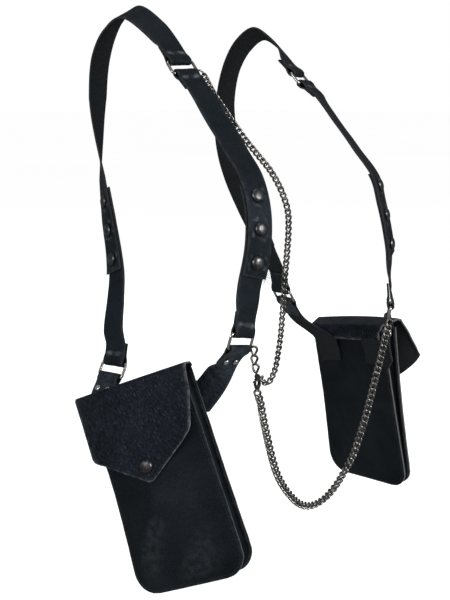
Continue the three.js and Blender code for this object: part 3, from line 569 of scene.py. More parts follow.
def leather(name, dark, light, cell, stretch, angle, depth, rough, patches, streak=None,
            wear=(0.034, 0.035, 0.039)):
    """
    Grained leather. cell is the width of a pebble in millimetres, stretch its length over its width,
    angle its turn in degrees and depth its height in metres. rough is the middle roughness, patches the
    scale of the lighter areas, and wear the colour of a worn rim. streak is a lighter colour for fine
    strokes in the grain, or None.
    """
    n = Nodes(name)
    uv = n.space("UV")

    def grain_space(size, ratio):
        return n.add("ShaderNodeMapping", set_vector_type="TEXTURE", Vector=uv,
                     Rotation=(0, 0, math.radians(-angle)),
                     Scale=(size * 0.001, size * ratio * 0.001, 1)).outputs["Vector"]
    mapped = grain_space(cell, stretch)
    warped = n.mix("VECTOR", 0.45, mapped, n.noise(mapped, 0.7, 3.0, 0.6, "Color"))
    pebble = n.add("ShaderNodeTexVoronoi", Vector=warped, Scale=1.0, set_feature="SMOOTH_F1",
                   Smoothness=0.5).outputs["Distance"]
    fine = n.noise(uv, 1500.0, 5.0, 0.7)
    crease = n.noise(uv, 150.0, 4.0, 0.6)
    broad = n.noise(uv, patches, 3.0, 0.55, distortion=0.4)
    shade = n.maths("MULTIPLY_ADD", n.remap(pebble, 0.1, 0.9, 0.0, 1.0), 0.3, broad)
    colour = n.ramp(shade, [(0.45, dark), (0.82, light)])
    relief = n.bump(pebble, depth, 0.7, n.bump(crease, 0.0011, 0.3))
    if streak:
        strokes = n.noise(grain_space(0.7, 5.0), 1.0, 3.0, 0.6, distortion=0.35)
        bent = n.mix("VECTOR", 0.3, grain_space(2.1, 2.3), n.noise(uv, 420.0, 3.0, 0.5, "Color"))
        cells = n.add("ShaderNodeTexVoronoi", Vector=bent, Scale=1.0, set_feature="DISTANCE_TO_EDGE")
        groove = n.remap(cells.outputs["Distance"], 0.0, 0.22, 0.0, 1.0)
        there = n.maths("MULTIPLY", n.remap(strokes, 0.53, 0.7, 0.0, 1.0),
                        n.remap(groove, 0.2, 1.0, 0.1, 1.0))
        colour = n.mix("RGBA", there, colour, streak)
        relief = n.bump(groove, 0.0005, 0.8, n.bump(strokes, 0.0006, 0.6, relief))
    worn = n.maths("MULTIPLY", n.mark("rim"), n.remap(crease, 0.4, 0.65, 0.1, 0.8))
    # Painted highlight, partly rub wear: the marked points are lightened towards pale grey where the crease
    # noise allows.
    highlight_and_wear = n.maths("MULTIPLY", n.mark("burnish"), n.remap(crease, 0.38, 0.6, 0.1, 1.0))
    colour = n.mix("RGBA", highlight_and_wear, n.mix("RGBA", worn, colour, wear), (0.10, 0.105, 0.11))
    return n.finish(Base_Color=colour, Roughness=n.remap(broad, 0.3, 0.72, rough + 0.12, rough - 0.1),
                    Normal=n.bump(fine, 0.00012, 0.45, relief), Specular_IOR_Level=0.22,
                    Specular_Tint=(0.66, 0.84, 1.0), Sheen_Weight=0.01, Sheen_Roughness=0.4,
                    Sheen_Tint=(0.5, 0.55, 0.7))


def fuzzy(name, dark, light, scale):
    """Raw cut edge or suede underside."""
    n = Nodes(name)
    fibre = n.noise(n.space("Object"), scale, 5.0, 0.7)
    return n.finish(Base_Color=n.ramp(fibre, [(0.35, dark), (0.68, light)]), Roughness=0.88,
                    Specular_IOR_Level=0.2, Normal=n.bump(fibre, 0.0004, 0.7))


def metal(name, bright, dull, rough):
    """Plated metal with dulled, slightly uneven patches."""
    n = Nodes(name)
    spots = n.noise(n.space("Object"), 300.0, 4.0, 0.6)
    return n.finish(Base_Color=n.ramp(spots, [(0.38, dull), (0.6, bright)]), Metallic=1.0,
                    Roughness=n.remap(spots, 0.3, 0.7, rough + 0.12, rough),
                    Normal=n.bump(spots, 0.00005, 0.3))


def plain_thread(name, dark, light):
    """Twisted sewing thread."""
    n = Nodes(name)
    twist = n.add("ShaderNodeTexWave", Vector=n.space("Object"), Scale=900.0, Distortion=1.5).outputs["Fac"]
    return n.finish(Base_Color=n.ramp(twist, [(0.2, dark), (0.9, light)]), Roughness=0.7)


STRAP_GRAIN = leather("strap_leather", (0.0024, 0.0042, 0.0060), (0.0066, 0.0096, 0.0128), 0.9, 1.3, 20,
                      0.00018, 0.54, 24.0)
TAB_GRAIN = leather("tab_leather", (0.0044, 0.0066, 0.0092), (0.0200, 0.0255, 0.0330), 1.3, 1.8, 70,
                    0.0005, 0.42, 40.0)
PANEL_GRAIN = leather("panel_leather", (0.0008, 0.0016, 0.0024), (0.0070, 0.0086, 0.0106), 0.5, 1.1, 0,
                      0.00005, 0.42, 11.0)
GUSSET_GRAIN = leather("gusset_leather", (0.0014, 0.0024, 0.0034), (0.0040, 0.0056, 0.0074), 0.5, 1.1, 0,
                       0.00005, 0.62, 30.0)
FLAP_GRAIN = leather("flap_leather", (0.0010, 0.0020, 0.0032), (0.0058, 0.0070, 0.0122), 1.9, 2.4, 20,
                     0.0004, 0.46, 16.0, (0.036, 0.039, 0.052), (0.11, 0.115, 0.125))
RAW_EDGE = fuzzy("raw_edge", (0.03, 0.03, 0.033), (0.14, 0.14, 0.145), 900.0)
DARK_EDGE = fuzzy("dyed_edge", (0.007, 0.0075, 0.009), (0.032, 0.032, 0.034), 900.0)
SUEDE = fuzzy("suede_side", (0.0035, 0.0048, 0.0058), (0.0095, 0.012, 0.0132), 700.0)
GUNMETAL = metal("gunmetal", (0.2, 0.195, 0.2), (0.075, 0.075, 0.08), 0.3)
RIVET_METAL = metal("rivet_metal", (0.96, 0.95, 0.93), (0.85, 0.84, 0.82), 0.2)
CLASP_METAL = metal("clasp_metal", (0.30, 0.29, 0.28), (0.12, 0.12, 0.12), 0.22)
NICKEL = metal("nickel", (0.82, 0.81, 0.79), (0.55, 0.54, 0.52), 0.14)
CHAIN_METAL = metal("chain_metal", (0.52, 0.505, 0.48), (0.13, 0.125, 0.12), 0.18)
THREAD = plain_thread("thread", (0.004, 0.004, 0.005), (0.016, 0.016, 0.018))

# Slot, which nothing here uses, then materials: of a leather piece its grain side, its edge and its
# underside.
STRAP_LOOK = "strap_leather", [STRAP_GRAIN, DARK_EDGE, SUEDE]
TAB_LOOK = "strap_leather", [TAB_GRAIN, DARK_EDGE, SUEDE]
PANEL_LOOK = "panel_leather", [PANEL_GRAIN, RAW_EDGE, SUEDE]
GUSSET_LOOK = "panel_leather", [GUSSET_GRAIN, DARK_EDGE, SUEDE]
FLAP_LOOK = "flap_leather", [FLAP_GRAIN, RAW_EDGE, SUEDE]
SNAP_LOOK = "gunmetal", [GUNMETAL]
RIVET_LOOK = "nickel", [RIVET_METAL]
RING_LOOK = "nickel", [NICKEL]
CHAIN_LOOK = "chain_metal", [CHAIN_METAL]


# ---- straps

COLUMNS = np.linspace(-0.5, 0.5, 19)
ROW_STEP = 1.7
HELD = 26, 70  # from a run's ends: straight up to, and wavy beyond
ROLL = dict(at=7.0, height=1.1, half=3.6)  # of the fold's thickest part, from the ring
PUCKER = dict(depth=0.28, sunk=5.5, height=0.8, ridge=9.5, half=3.2)


def strap_grid(rows):
    """Grid from (middle, across) rows."""
    return np.array([[middle + across * (STRAP_WIDTH * c) for c in COLUMNS] for middle, across in rows])


def wave(run, distance, across, normal, middle):
    """Slight waviness of a strap, the same for every layer of its run."""
    held = float(smooth(distance, *HELD) * smooth(run.length - distance, *HELD))
    tilt = 0.03 * held * (noise(distance / 34.0, 0.5, 3) - 0.5)
    bow = 0.5 * held * (noise(distance / 26.0, 2.5, 5) - 0.5)
    return middle + normal * bow, turned(across, np.cross(across, normal), tilt)


def free_rows(run, at, height, aside):
    """Rows of the straight part of a strap; height and aside say how far it leaves the run's middle."""
    rows = []
    for d in at:
        place, _, across, normal = run.at(d)
        middle = place + normal * height(d) + across * aside(d)
        rows.append(wave(run, d, across, normal, middle))
    return rows


def eased(rows, joint, span=9, passes=14):
    """Rows with the bend at a joint spread over its neighbours."""
    middles, ways = (np.array([row[k] for row in rows]) for k in (0, 1))
    for _ in range(passes):
        for values in (middles, ways):
            blurred(values, joint - span, joint + span)
    return list(zip(middles, unit(ways)))


def loop_at(run, at_start, wire, ring_across):
    """Rows of the loop at one end of a run."""
    place, _, across, normal = run.at(LOOP_TAIL if at_start else run.length - LOOP_TAIL)
    side = ring_across * np.sign(ring_across @ across)
    towards = square_to(wire - place, side)
    up = np.cross(side, towards)
    up *= np.sign(up @ normal)
    rows = loop_rows(wire, side, towards, up)
    return rows[::-1] if at_start else rows


def fold_relief(grid, rows):
    """Wrinkles across the first rows of a strap, where it is folded round its ring."""
    along = distances(grid[:, grid.shape[1] // 2])[:, None]
    aside = STRAP_WIDTH * COLUMNS[None, :]
    near = 1 - smooth(along, along[rows - 1] - 2, along[rows - 1] + 10)
    roll = np.abs(along - along[rows - 1] + LOOP_TAIL - ROLL["at"])
    bulge = ROLL["height"] * np.exp(-(roll / ROLL["half"]) ** 2)
    bulge = bulge * (0.55 + 0.45 * noise(along / 9.0, aside / 7.0, 53))
    coarse, fine = noise(along / 2.6, aside / 8.0, 51) - 0.5, noise(along / 1.5, aside / 3.5, 52) - 0.5
    return bulge * (1 - smooth(np.abs(aside), 8, 12.5)) + near * (0.6 * coarse + 0.42 * fine)


def snap_relief(grid, heads):
    """Leather sunk under the snaps and puckered up round them."""
    rise = np.zeros(grid.shape[:2])
    for centre in heads:
        r = np.linalg.norm(grid - centre, axis=2)
        rise -= PUCKER["depth"] * np.exp(-(r / PUCKER["sunk"]) ** 2)
        ridge = PUCKER["height"] * np.exp(-((r - PUCKER["ridge"]) / PUCKER["half"]) ** 2)
        rise += ridge * noise(grid[..., 0] / 3.1, grid[..., 2] / 3.1, 9)
    return rise


def dome(radius, rim, height, lip):
    """Profile of a cap: neck sunk towards the leather, flange, soft lip and crown."""
    crown = radius * (1 - lip)
    rows = [(0, -0.5), (radius * 0.84, -0.5), (radius * 0.9, 0), (radius * 0.98, 0.04 * rim),
            (radius, 0.2 * rim), (radius, rim * 0.8), (crown, rim)]
    rows += [(crown * cosine(a), rim + (height - rim) * sine(a)) for a in range(12, 90, 13)]
    return rows + [(0, height)]


def add_caps(nodes, seats, profile, look, segments):
    """A cap for each node, on a seat that is a place and the direction that it looks in."""
    for node, seat in zip(nodes, seats):
        add_mesh(node + "_cap", *lathe(profile, *seat, segments), look, [node])


SNAP_PROFILE = dome(lip=0.06, **SNAP)
RIVET_PROFILE = dome(lip=0.03, **RIVET)


def strap_run(side, kind, rings):
    """A run of straps, and how far along it the upper one is cut."""
    row = RUNS[kind]
    cut, stations = row["halves"][side]
    start, end = rings["shoulder"], rings[row["end"]]
    run = Run((start[row["wire"]], start["angles"]), stations, (end["upper"], end["angles"]), row["outward"])
    return run, cut


def build_run(side, kind, rings):
    """Upper strap, lower strap and the three snaps that join them."""
    run, cut = strap_run(side, kind, rings)
    row = RUNS[kind]
    start, end = rings["shoulder"], rings[row["end"]]
    clear, free = LOOP_TAIL + STRAP_STEP / 2, run.length - LOOP_TAIL - STRAP_STEP / 2
    seats = []
    for k in range(3):
        distance = cut - FIRST_SNAP - (2 - k) * SNAP_PITCH
        place, _, across, normal = run.at(distance)
        seats.append((wave(run, distance, across, normal, place)[0] + normal * SEAT, normal))
    add_caps([f"{side}_{kind}_snap_{k + 1}" for k in range(3)], seats, SNAP_PROFILE, SNAP_LOOK, 36)

    loop = loop_at(run, True, start[row["wire"]], start["across"])
    upper = loop + free_rows(run, np.arange(cut, clear, -ROW_STEP)[::-1],
                             lambda d: LAYER / 2 * (1 - smooth(d, clear, 3 * clear)), lambda d: 0.0)
    grid = strap_grid(eased(upper, len(loop)))
    relief = snap_relief(grid, [place for place, _ in seats]) + fold_relief(grid, len(loop))
    leather_sheet(f"{side}_{row['upper']}", grid, STRAP_LOOK, (-1, run.at(cut)[3]), relief=relief)

    loop = loop_at(run, False, end["upper"], end["across"])
    lower = free_rows(run, np.arange(cut - OVERLAP, free, ROW_STEP),
                      lambda d: -LAYER + 1.5 * LAYER * smooth(d, cut, free),
                      lambda d: -SIDE_STEP * (1 - smooth(d, cut, free)))
    grid = strap_grid(eased(lower + loop, len(lower)))
    leather_sheet(f"{side}_{kind}_lower_strap", grid, STRAP_LOOK, (0, run.at(cut - OVERLAP)[3]),
                  relief=fold_relief(grid[::-1], len(loop))[::-1])


# ---- pouches

STRAIGHT = POUCH_HEIGHT - CORNER_RADIUS  # depth where the panels' round corners start
UNEVEN_SIDE = 0.45


def panel_grid(pouch, top, height, columns=44):
    """Panel with slightly uneven sides, at a height that is a function of along and down."""
    downs = [*np.arange(top, STRAIGHT, 3.0)]
    downs += [STRAIGHT + CORNER_RADIUS * sine(a) for a in (*range(0, 80, 8), 90)]
    rows = []
    share = np.linspace(0, 1, columns + 1)
    share = lerp(share, 0.5 - 0.5 * np.cos(np.pi * share), 0.35)
    for down in downs:
        rear, front = panel_edge(down)
        rear += UNEVEN_SIDE * noise(down / 7.0, 1.0, 11)
        front -= UNEVEN_SIDE * noise(down / 7.0, 4.0, 12)
        along = lerp(rear, front, share)
        rows.append(pouch.at(along, down, height(along, down)))
    return np.array(rows)


# Strength of the painted highlight, partly rub wear, on the front panel's fold ridges.
RIDGE_HIGHLIGHT_AND_WEAR = 0.09
FOLDS = dict(start=(96, 125), end=(176, 197), half=52)  # depths, and reach to either side


def folds(along, down):
    """Soft upright folds of the front panel, below the flap."""
    lean = along + 0.45 * (down - 140)
    deep = 3.4 * noise(lean / 24.0, down / 55.0, 21) + 1.2 * noise(lean / 11.0, down / 40.0, 22)
    there = smooth(down, *FOLDS["start"]) * (1 - smooth(down, *FOLDS["end"]))
    return deep * there * np.maximum(0, 1 - (along / FOLDS["half"]) ** 4)


def flat(along, down):
    return 0 * (along + down)


def creased(pouch):
    """Height of the front panel with its folds."""
    return lambda along, down: pouch.front_height(along, down) + folds(along, down)


def gusset_grid(pouch):
    """U-shaped strip between the panels, folded inwards along its middle."""
    off = LEATHER / 2 + GAP + GUSSET_LEATHER / 2
    stops = [(lerp(MOUTH["gusset"], STRAIGHT, t), 0) for t in np.linspace(0, 1, 40)]
    stops += [(STRAIGHT, a) for a in np.linspace(90 / 14, 90, 14)]

    def row(sign, down, angle):
        folded = 1 - 0.7 * float(smooth(down + angle, STRAIGHT - 40, STRAIGHT + 60))
        inner = SEAM["turn"] + pouch.pleat * folded
        line = []
        for column, inset in enumerate((SEAM["edge"], SEAM["turn"], inner, SEAM["turn"], SEAM["edge"])):
            radius = CORNER_RADIUS - inset
            rear, front = panel_edge(min(down, STRAIGHT), inset)
            along = (rear if sign < 0 else front) - sign * radius * (1 - cosine(angle))
            depth = down + radius * sine(angle)
            deep = float(pouch.front_height(along, depth))
            high = (off, off + GAP, deep / 2, deep - off - GAP, deep - off)[column]
            line.append(pouch.at(along, depth, high))
        line = np.array(line)
        share = np.array([0, 0.5, 1, 1.22, 1.5, 1.8, 2.0, 2.2, 2.5, 2.78, 3, 3.5, 4])
        spread = sampled(share, range(5), line)
        spread[5:8] += (spread[[4, 6, 8]].mean(0) - spread[6]) * np.array([[0.25], [0.5], [0.25]])
        return spread
    rear = [row(-1, d, a) for d, a in stops]
    front = [row(1, d, a) for d, a in stops][::-1]
    middle = [lerp(rear[-1], front[0], t) for t in np.linspace(0, 1, 16)[1:-1]]
    return np.array(rear + middle + front)


def rounded(a, b, c, radius, steps):
    """Points that round the corner b of the path a, b, c."""
    p, q = b + unit(a - b) * radius, b + unit(c - b) * radius
    t = np.linspace(0, 1, steps)[:, None]
    return (1 - t) ** 2 * p + 2 * t * (1 - t) * b + t ** 2 * q


FOLD_ROUND = 2.8  # how far the fold's front end is drawn in
RAGGED = {-1: 1.3, 1: 0.4}  # of the lower edge's rear and front half
RIPPLE = 0.9


def flap_outline(pouch, sign):
    """Side edge of the flap's front as (down, along) points, from the fold to the tip."""
    side = pouch.rear_side if sign < 0 else pouch.front_side
    corner = FLAP["rear"] if sign < 0 else FLAP["front"]
    a, b = vec(FLAP["top"] + FLAP["bend"], sign * FLAP["half"]), vec(side, sign * corner)
    c, d = (vec(FLAP["tip"], FLAP_MIDDLE + sign * half) for half in (FLAP["tip_half"] * 0.5, 0.4))
    first, last = rounded(a, b, c, 5, 8), rounded(b, c, d, 1.4, 5)
    t = np.linspace(0, 1, 22, endpoint=False)[:, None]
    s = np.linspace(0, 1, 24)[1:-1, None]
    outline = np.vstack([lerp(a, first[0], t), first, lerp(first[-1], last[0], s), last])
    span = smooth(outline[:, 0], side, side + 6)
    span *= 1 - smooth(outline[:, 0], FLAP["tip"] - 7, FLAP["tip"] - 2)
    outline[:, 0] -= RAGGED[sign] * span * noise(outline[:, 1] / 2.4, 3.5 + sign, 61)
    if sign > 0:
        outline[:, 1] -= FOLD_ROUND * (1 - smooth(outline[:, 0], a[0], a[0] + 9 * FOLD_ROUND))
    return outline


def flap_grid(pouch, columns=40):
    """Flap from its lap on the back panel, over the fold, and down the front to its tip."""
    top, bend = FLAP["top"], FLAP["bend"]
    share = np.linspace(0, 1, columns + 1)
    over, rows = pouch.over_front, []

    def plain(down, half, high, drawn=0.0):
        along = lerp(-half, half - drawn, share)
        rows.append(pouch.at(along, down, high(along)))
    for t in np.linspace(0, 1, 7):
        down = lerp(FLAP["lap"], top + bend, t)
        half = lerp(FLAP["lap_half"], FLAP["fold_half"], float(smooth(down, 9, 4)))
        plain(down, half, lambda x: x * 0 - LAYER)
    for a in np.radians([18, 36, 54, 72, 90]):
        plain(top + bend * (1 - math.sin(a)), FLAP["fold_half"],
              lambda x: x * 0 - LAYER + bend * (1 - math.cos(a)))
    for t in np.linspace(0, 1, 9)[1:]:
        half = lerp(FLAP["fold_half"], FLAP["half"], t)
        plain(top, half, lambda x: lerp(-LAYER + bend, over(x, 0) - bend, t), FOLD_ROUND * t)
    for a in np.radians([18, 36, 54, 72]):
        plain(top + bend * (1 - math.cos(a)), FLAP["half"], lambda x: over(x, 0) - bend * (1 - math.sin(a)),
              FOLD_ROUND)
    rear, front = flap_outline(pouch, -1), flap_outline(pouch, 1)
    for (d0, a0), (d1, a1) in zip(rear, front):
        along, drop = lerp(a0, a1, share), lerp(d0, d1, share)
        lift = pouch.curl(along, drop)
        ripple = RIPPLE * noise((along + 0.8 * drop) / 13.0, (drop - 0.8 * along) / 24.0, 31)
        ripple = ripple * smooth(drop, 6, 20)
        ripple *= 1 - np.exp(-((along + 5) ** 2 + (drop - FLAP["snap"]) ** 2) / 140.0)
        down = np.sqrt(np.maximum(0, drop ** 2 - lift ** 2))
        rows.append(pouch.at(along, down, over(along, drop) + lift + ripple))
    return np.array(rows)


def snap_seat(pouch):
    """Place and direction of the flap's snap."""
    def spot(forward, lower):
        along, down = FLAP_MIDDLE + forward, FLAP["snap"] + lower
        return pouch.at(along, down, pouch.over_front(along, down))
    normal = unit(np.cross(spot(0, -1) - spot(0, 1), spot(1, 0) - spot(-1, 0)))
    return spot(0, 0) + normal * SEAT, normal


def bezier(p0, p1, p2, p3, t):
    return (1 - t) ** 3 * p0 + 3 * t * (1 - t) ** 2 * p1 + 3 * t * t * (1 - t) * p2 + t ** 3 * p3


def tab_grid(pouch, row, ring):
    """Tab from its lap on the back panel to its fold at a ring: grid, rivets' seats and facing."""
    _, lap_up, lap_low, exit_up, exit_low = row
    shares = np.linspace(0, 1, 13)

    def on_panel(share, out):
        lap = lerp(vec(*lap_up), vec(*lap_low), share)
        leave = lerp(vec(*exit_up), vec(*exit_low), share)
        along, down = lerp(lap, leave, out)
        shift = -2 * LAYER + LAYER * float(smooth(down, FLAP["lap"] + 4, FLAP["lap"] + 15))
        return pouch.at(along, down, shift)
    wire, across = ring["lower"], ring["across"]
    route = wire - on_panel(0.5, 1)
    towards, away = square_to(route, across), square_to(route, pouch.face)
    normal = np.cross(across, towards)
    normal *= np.sign(normal @ pouch.face)
    loop = [np.array([middle + across * (STRAP_WIDTH * (s - 0.5)) for s in shares])
            for middle, _ in loop_rows(wire, across, towards, normal)]
    rows = [np.array([on_panel(s, t) for s in shares]) for t in np.linspace(0, 1, 18)]
    first, last = rows[-1], loop[0]
    start, end = on_panel(0.5, 1), wire - towards * LOOP_TAIL + normal * (LAYER / 2)
    reach = 0.4 * np.linalg.norm(end - start)
    spread = square_to(first[-1] - first[0], pouch.face)
    final = across * np.sign((last[-1] - last[0]) @ across)
    axis, angle = unit(np.cross(spread, final)), math.acos(float(np.clip(spread @ final, -1, 1)))
    width = np.linalg.norm(first[-1] - first[0])
    step = (first - start) @ pouch.face
    for t in np.linspace(0, 1, 26)[1:-1]:
        place = bezier(start, start + away * reach, end - towards * reach, end, t)
        way = turned(spread, axis, angle * t * t)
        wide = lerp(width, STRAP_WIDTH, t)
        rows.append(np.array([place + way * ((s - 0.5) * wide) + pouch.face * (step[k] * (1 - t))
                              for k, s in enumerate(shares)]))
    rivets = wire - towards * RIVET_FROM_RING
    seats = [(rivets + across * (sign * RIVET_ASIDE) + normal * (LAYER / 2 + SEAT), normal)
             for sign in (-1, 1)]
    joint, grid = len(rows), np.array(rows + loop)
    for _ in range(24):
        blurred(grid, joint - 20, joint + 6)
    return grid, seats, (joint - 1, normal)


def stitch_line(path, normals):
    """Row of short stitches along a path, each a small capsule that dips at both ends."""
    along = distances(path)
    parts = []
    profile = [(-0.5, 0.05), (-0.4, 0.75), (-0.15, 1.0), (0.15, 1.0), (0.4, 0.75), (0.5, 0.05)]
    for start in np.arange(STITCH["pitch"] / 2, along[-1] - STITCH["pitch"] / 2, STITCH["pitch"]):
        at, ahead = (sampled(start + d, along, path) for d in (0, 0.5))
        up = unit(sampled(start, along, normals))
        way = square_to(ahead - at, up)
        side = np.cross(up, way)
        points, faces = [], []
        for x, r in profile:
            centre = at + way * (x * STITCH["length"]) + up * (0.25 * r - 0.05)
            points += [centre + STITCH["radius"] * r * (math.cos(a) * side + math.sin(a) * up)
                       for a in np.arange(6) * math.pi / 3]
        for k in range(0, len(points) - 6, 6):
            for q, w in ((q, (q + 1) % 6) for q in range(6)):
                faces.append((k + q, k + 6 + q, k + 6 + w, k + w))
        faces += [tuple(range(6)), tuple(len(points) - 6 + q for q in reversed(range(6)))]
        parts.append((np.array(points), faces))
    return parts


def seam_path(pouch, height, rise, inset=3.2, top=12.0):
    """U-shaped seam line on a panel face."""
    radius = CORNER_RADIUS - inset
    legs = []
    for k, sign in enumerate((-1, 1)):
        leg = [(panel_edge(down, inset)[k], down) for down in np.linspace(top, STRAIGHT, 60)]
        edge = panel_edge(STRAIGHT, inset)[k]
        leg += [(edge - sign * radius * (1 - math.cos(a)), STRAIGHT + radius * math.sin(a))
                for a in np.radians(np.linspace(6, 90, 15))]
        legs += leg if sign < 0 else leg[::-1]
    along, down = np.array(legs).T
    return pouch.at(along, down, height(along, down) + rise)


def ring_outline():
    """Middle of a ring's wire as (across, up) points, round its four bent corners."""
    bend = RING["bend"]
    wide, high = ((RING[key] + RING["wire"]) / 2 - bend for key in ("width", "height"))
    bends = [(x + bend * cosine(first + a), y + bend * sine(first + a))
             for x, y, first in ((wide, high, 0), (-wide, high, 90), (-wide, -high, 180), (wide, -high, 270))
             for a in range(0, 91, 10)]
    outline = []
    for p, q in zip(bends, bends[1:] + bends[:1]):
        parts = max(1, int(math.dist(p, q) / 2.5))
        outline += [(lerp(p[0], q[0], t / parts), lerp(p[1], q[1], t / parts)) for t in range(parts)]
    return outline


def build_rings(side, rings):
    outline = ring_outline()
    for name, ring in rings.items():
        path = np.array([ring["centre"] + ring["across"] * x + ring["up"] * y for x, y in outline])
        points, faces = sweep([path], [np.cross(ring["across"], ring["up"])], RING["wire"] / 2, 14)
        add_mesh(f"{side}_{name}_ring_wire", points, faces, RING_LOOK, [f"{side}_{name}_ring"])


def build_pouch(side, pouch):
    """Panels, gusset and flap with its snap."""
    back = panel_grid(pouch, MOUTH["back"], flat)
    leather_sheet(f"{side}_back_panel", back, PANEL_LOOK, (20, -pouch.face))
    front = panel_grid(pouch, MOUTH["front"], creased(pouch))
    down, along = (np.linspace(0, end, count) for end, count in zip((POUCH_HEIGHT, 1), front.shape[:2]))
    ridges = folds(lerp(-55, 55, along)[None, :], down[:, None])
    # The front panel's fold ridges get a painted highlight, partly rub wear.
    leather_sheet(f"{side}_front_panel", front, PANEL_LOOK, (20, pouch.face),
                  burnish=RIDGE_HIGHLIGHT_AND_WEAR * smooth(ridges, 1.8, 3.6))
    leather_sheet(f"{side}_gusset", gusset_grid(pouch), GUSSET_LOOK, (10, -pouch.forward), GUSSET_LEATHER)
    leather_sheet(f"{side}_flap", flap_grid(pouch), FLAP_LOOK, (-20, pouch.face))
    add_caps([f"{side}_flap_snap"], [snap_seat(pouch)], SNAP_PROFILE, SNAP_LOOK, 36)


def build_tabs(side, pouch, rings):
    for name, row in TABS.items():
        grid, seats, facing = tab_grid(pouch, row, rings[row[0]])
        leather_sheet(f"{side}_{name}_tab", grid, TAB_LOOK, facing)
        add_caps([f"{side}_{name}_tab_rivet_{k}" for k in (1, 2)], seats, RIVET_PROFILE, RIVET_LOOK, 24)


def build_stitches(side, pouch):
    """Seams of the front and back panels."""
    seams = []
    for height, rise in ((creased(pouch), LEATHER / 2), (flat, -LEATHER / 2)):
        path = seam_path(pouch, height, rise)
        seams += stitch_line(path, np.broadcast_to(pouch.face * np.sign(rise), path.shape))
    add_mesh(f"{side}_pouch_stitches", *merged(seams), ("panel_leather", [THREAD]), [])


def ring_frames(side):
    return {name: ring_frame(row) for name, row in RINGS[side].items()}


def build_half(side):
    rings, pouch = ring_frames(side), Pouch(POUCHES[side])
    build_rings(side, rings)
    for kind in RUNS:
        build_run(side, kind, rings)
    build_pouch(side, pouch)
    build_tabs(side, pouch, rings)
    build_stitches(side, pouch)


build_half("right")
build_half("left")


# Loose threads: how far before the cut end each starts, how far it reaches, and how much it falls.
THREADS = [(0.5, 7.0, 0.9), (2.0, 4.5, 0.1), (3.5, 6.0, -0.5), (9.0, 3.0, 0.6), (-2.0, 5.0, 1.6)]


def loose_threads():
    """Thread pulled out in thin loops at the inner corner of the right front strap's cut end."""
    run, cut = strap_run("right", "front", ring_frames("right"))
    around = np.arange(40) * 2 * np.pi / 40
    paths, normals = [], []
    for k, (back, reach, fall) in enumerate(THREADS):
        place, way, across, normal = run.at(cut - max(back, 0.3))
        inner = across * np.sign(across @ vec(-1, 0, 0))
        root = place + inner * (STRAP_WIDTH / 2 - 0.6 + min(back, 0)) + normal * LAYER / 4
        out = unit(inner + way * fall)
        side = square_to(way, out)
        far = reach * (1 - np.cos(around)) / 2
        wide = 0.9 * np.sin(around) * (0.6 + 0.5 * noise(around, k, 71)) + 0.9 * np.sin(far * 0.9 + k)
        paths.append(root + out * far[:, None] + side * wide[:, None] + normal * (0.12 * far)[:, None])
        normals.append(normal)
    points, faces = sweep(paths, normals, THREAD_RADIUS, 6)
    add_mesh("right_front_loose_threads", points, faces, ("strap_leather", [THREAD]), [])


loose_threads()


# ---- chains

def chain(node, route, link, facings, roll):
    """
    Curb links along a route: twisted ovals that hook through each other and lie flat.
    link is its pitch, width and wire; facings are where the links look at either end of the route.
    """
    pitch, width, wire = link
    curve = Curve(route)
    a, b = (pitch + wire) / 2, (width - wire) / 2
    room = curve.length - 2 * a - wire
    count = int(room // pitch) + 1
    pitch = room / max(1, count - 1)
    theta = np.arange(22) * 2 * np.pi / 22
    shape = np.stack([a * np.cos(theta), b * np.sin(theta), -0.62 * b * np.sin(2 * theta)], axis=1)
    paths, normals = [], []
    for k in range(count):
        distance = a + wire / 2 + k * pitch
        place, way, _ = curve.at(distance)
        side = square_to(lerp(vec(*facings[0]), vec(*facings[1]), distance / curve.length), way)
        flat = turned(side, way, math.radians(roll + 16 * (noise(k / 3.0, 7.5, 41) - 0.5)))
        paths.append(place + shape @ np.stack([way, np.cross(flat, way), flat]))
        normals.append(flat)
    add_mesh(node + "_links", *sweep(paths, normals, wire / 2, 8), CHAIN_LOOK, [node])


# Pitch, width and wire.
HEAVY_LINK, THIN_LINK = (5.7, 7.8, 2.4), (5.2, 6.2, 1.9)
chain("hanger_chain", HANGER_HOOK + HANGER_ROUTE, HEAVY_LINK, [(0, -1, 0.1)] * 2, roll=28)
chain("long_chain", LONG_HOOKS[0] + LONG_ROUTE + LONG_HOOKS[1], HEAVY_LINK,
      [(0, -1, 0.05), (-1, -0.5, 0.1)], roll=28)
chain("thin_chain", THIN_HOOKS[0] + THIN_ROUTE + THIN_HOOKS[1], THIN_LINK,
      [(-0.7, -0.8, 0.4), (0.5, -1, 0.2)], roll=14)


def bevelled(node, width, body):
    """Copy of a small metal piece with its edges rounded off."""
    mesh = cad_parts[node].data.copy()
    mesh.materials.clear()
    mesh.materials.append(CLASP_METAL)
    obj = placed(node + "_rounded", mesh)
    weld = obj.modifiers.new("weld", "WELD")
    weld.merge_threshold = 0.00002
    bevel = obj.modifiers.new("bevel", "BEVEL")
    bevel.width, bevel.segments, bevel.limit_method = width, 3, "ANGLE"
    bevel.angle_limit = math.radians(50)
    bevel.use_clamp_overlap = True
    made = bpy.data.meshes.new_from_object(obj.evaluated_get(bpy.context.evaluated_depsgraph_get()))
    obj.modifiers.clear()
    obj.data = made
    made.polygons.foreach_set("use_smooth", np.ones(len(made.polygons), bool))
    made.set_sharp_from_angle(angle=math.radians(40))
    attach(obj, body)
    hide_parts(node)


bevelled("clasp_body", 0.0005, "harness")
bevelled("clasp_lever", 0.00035, "clasp_gate")
bevelled("clasp_ring", 0.0001, "harness")


# ---- studio

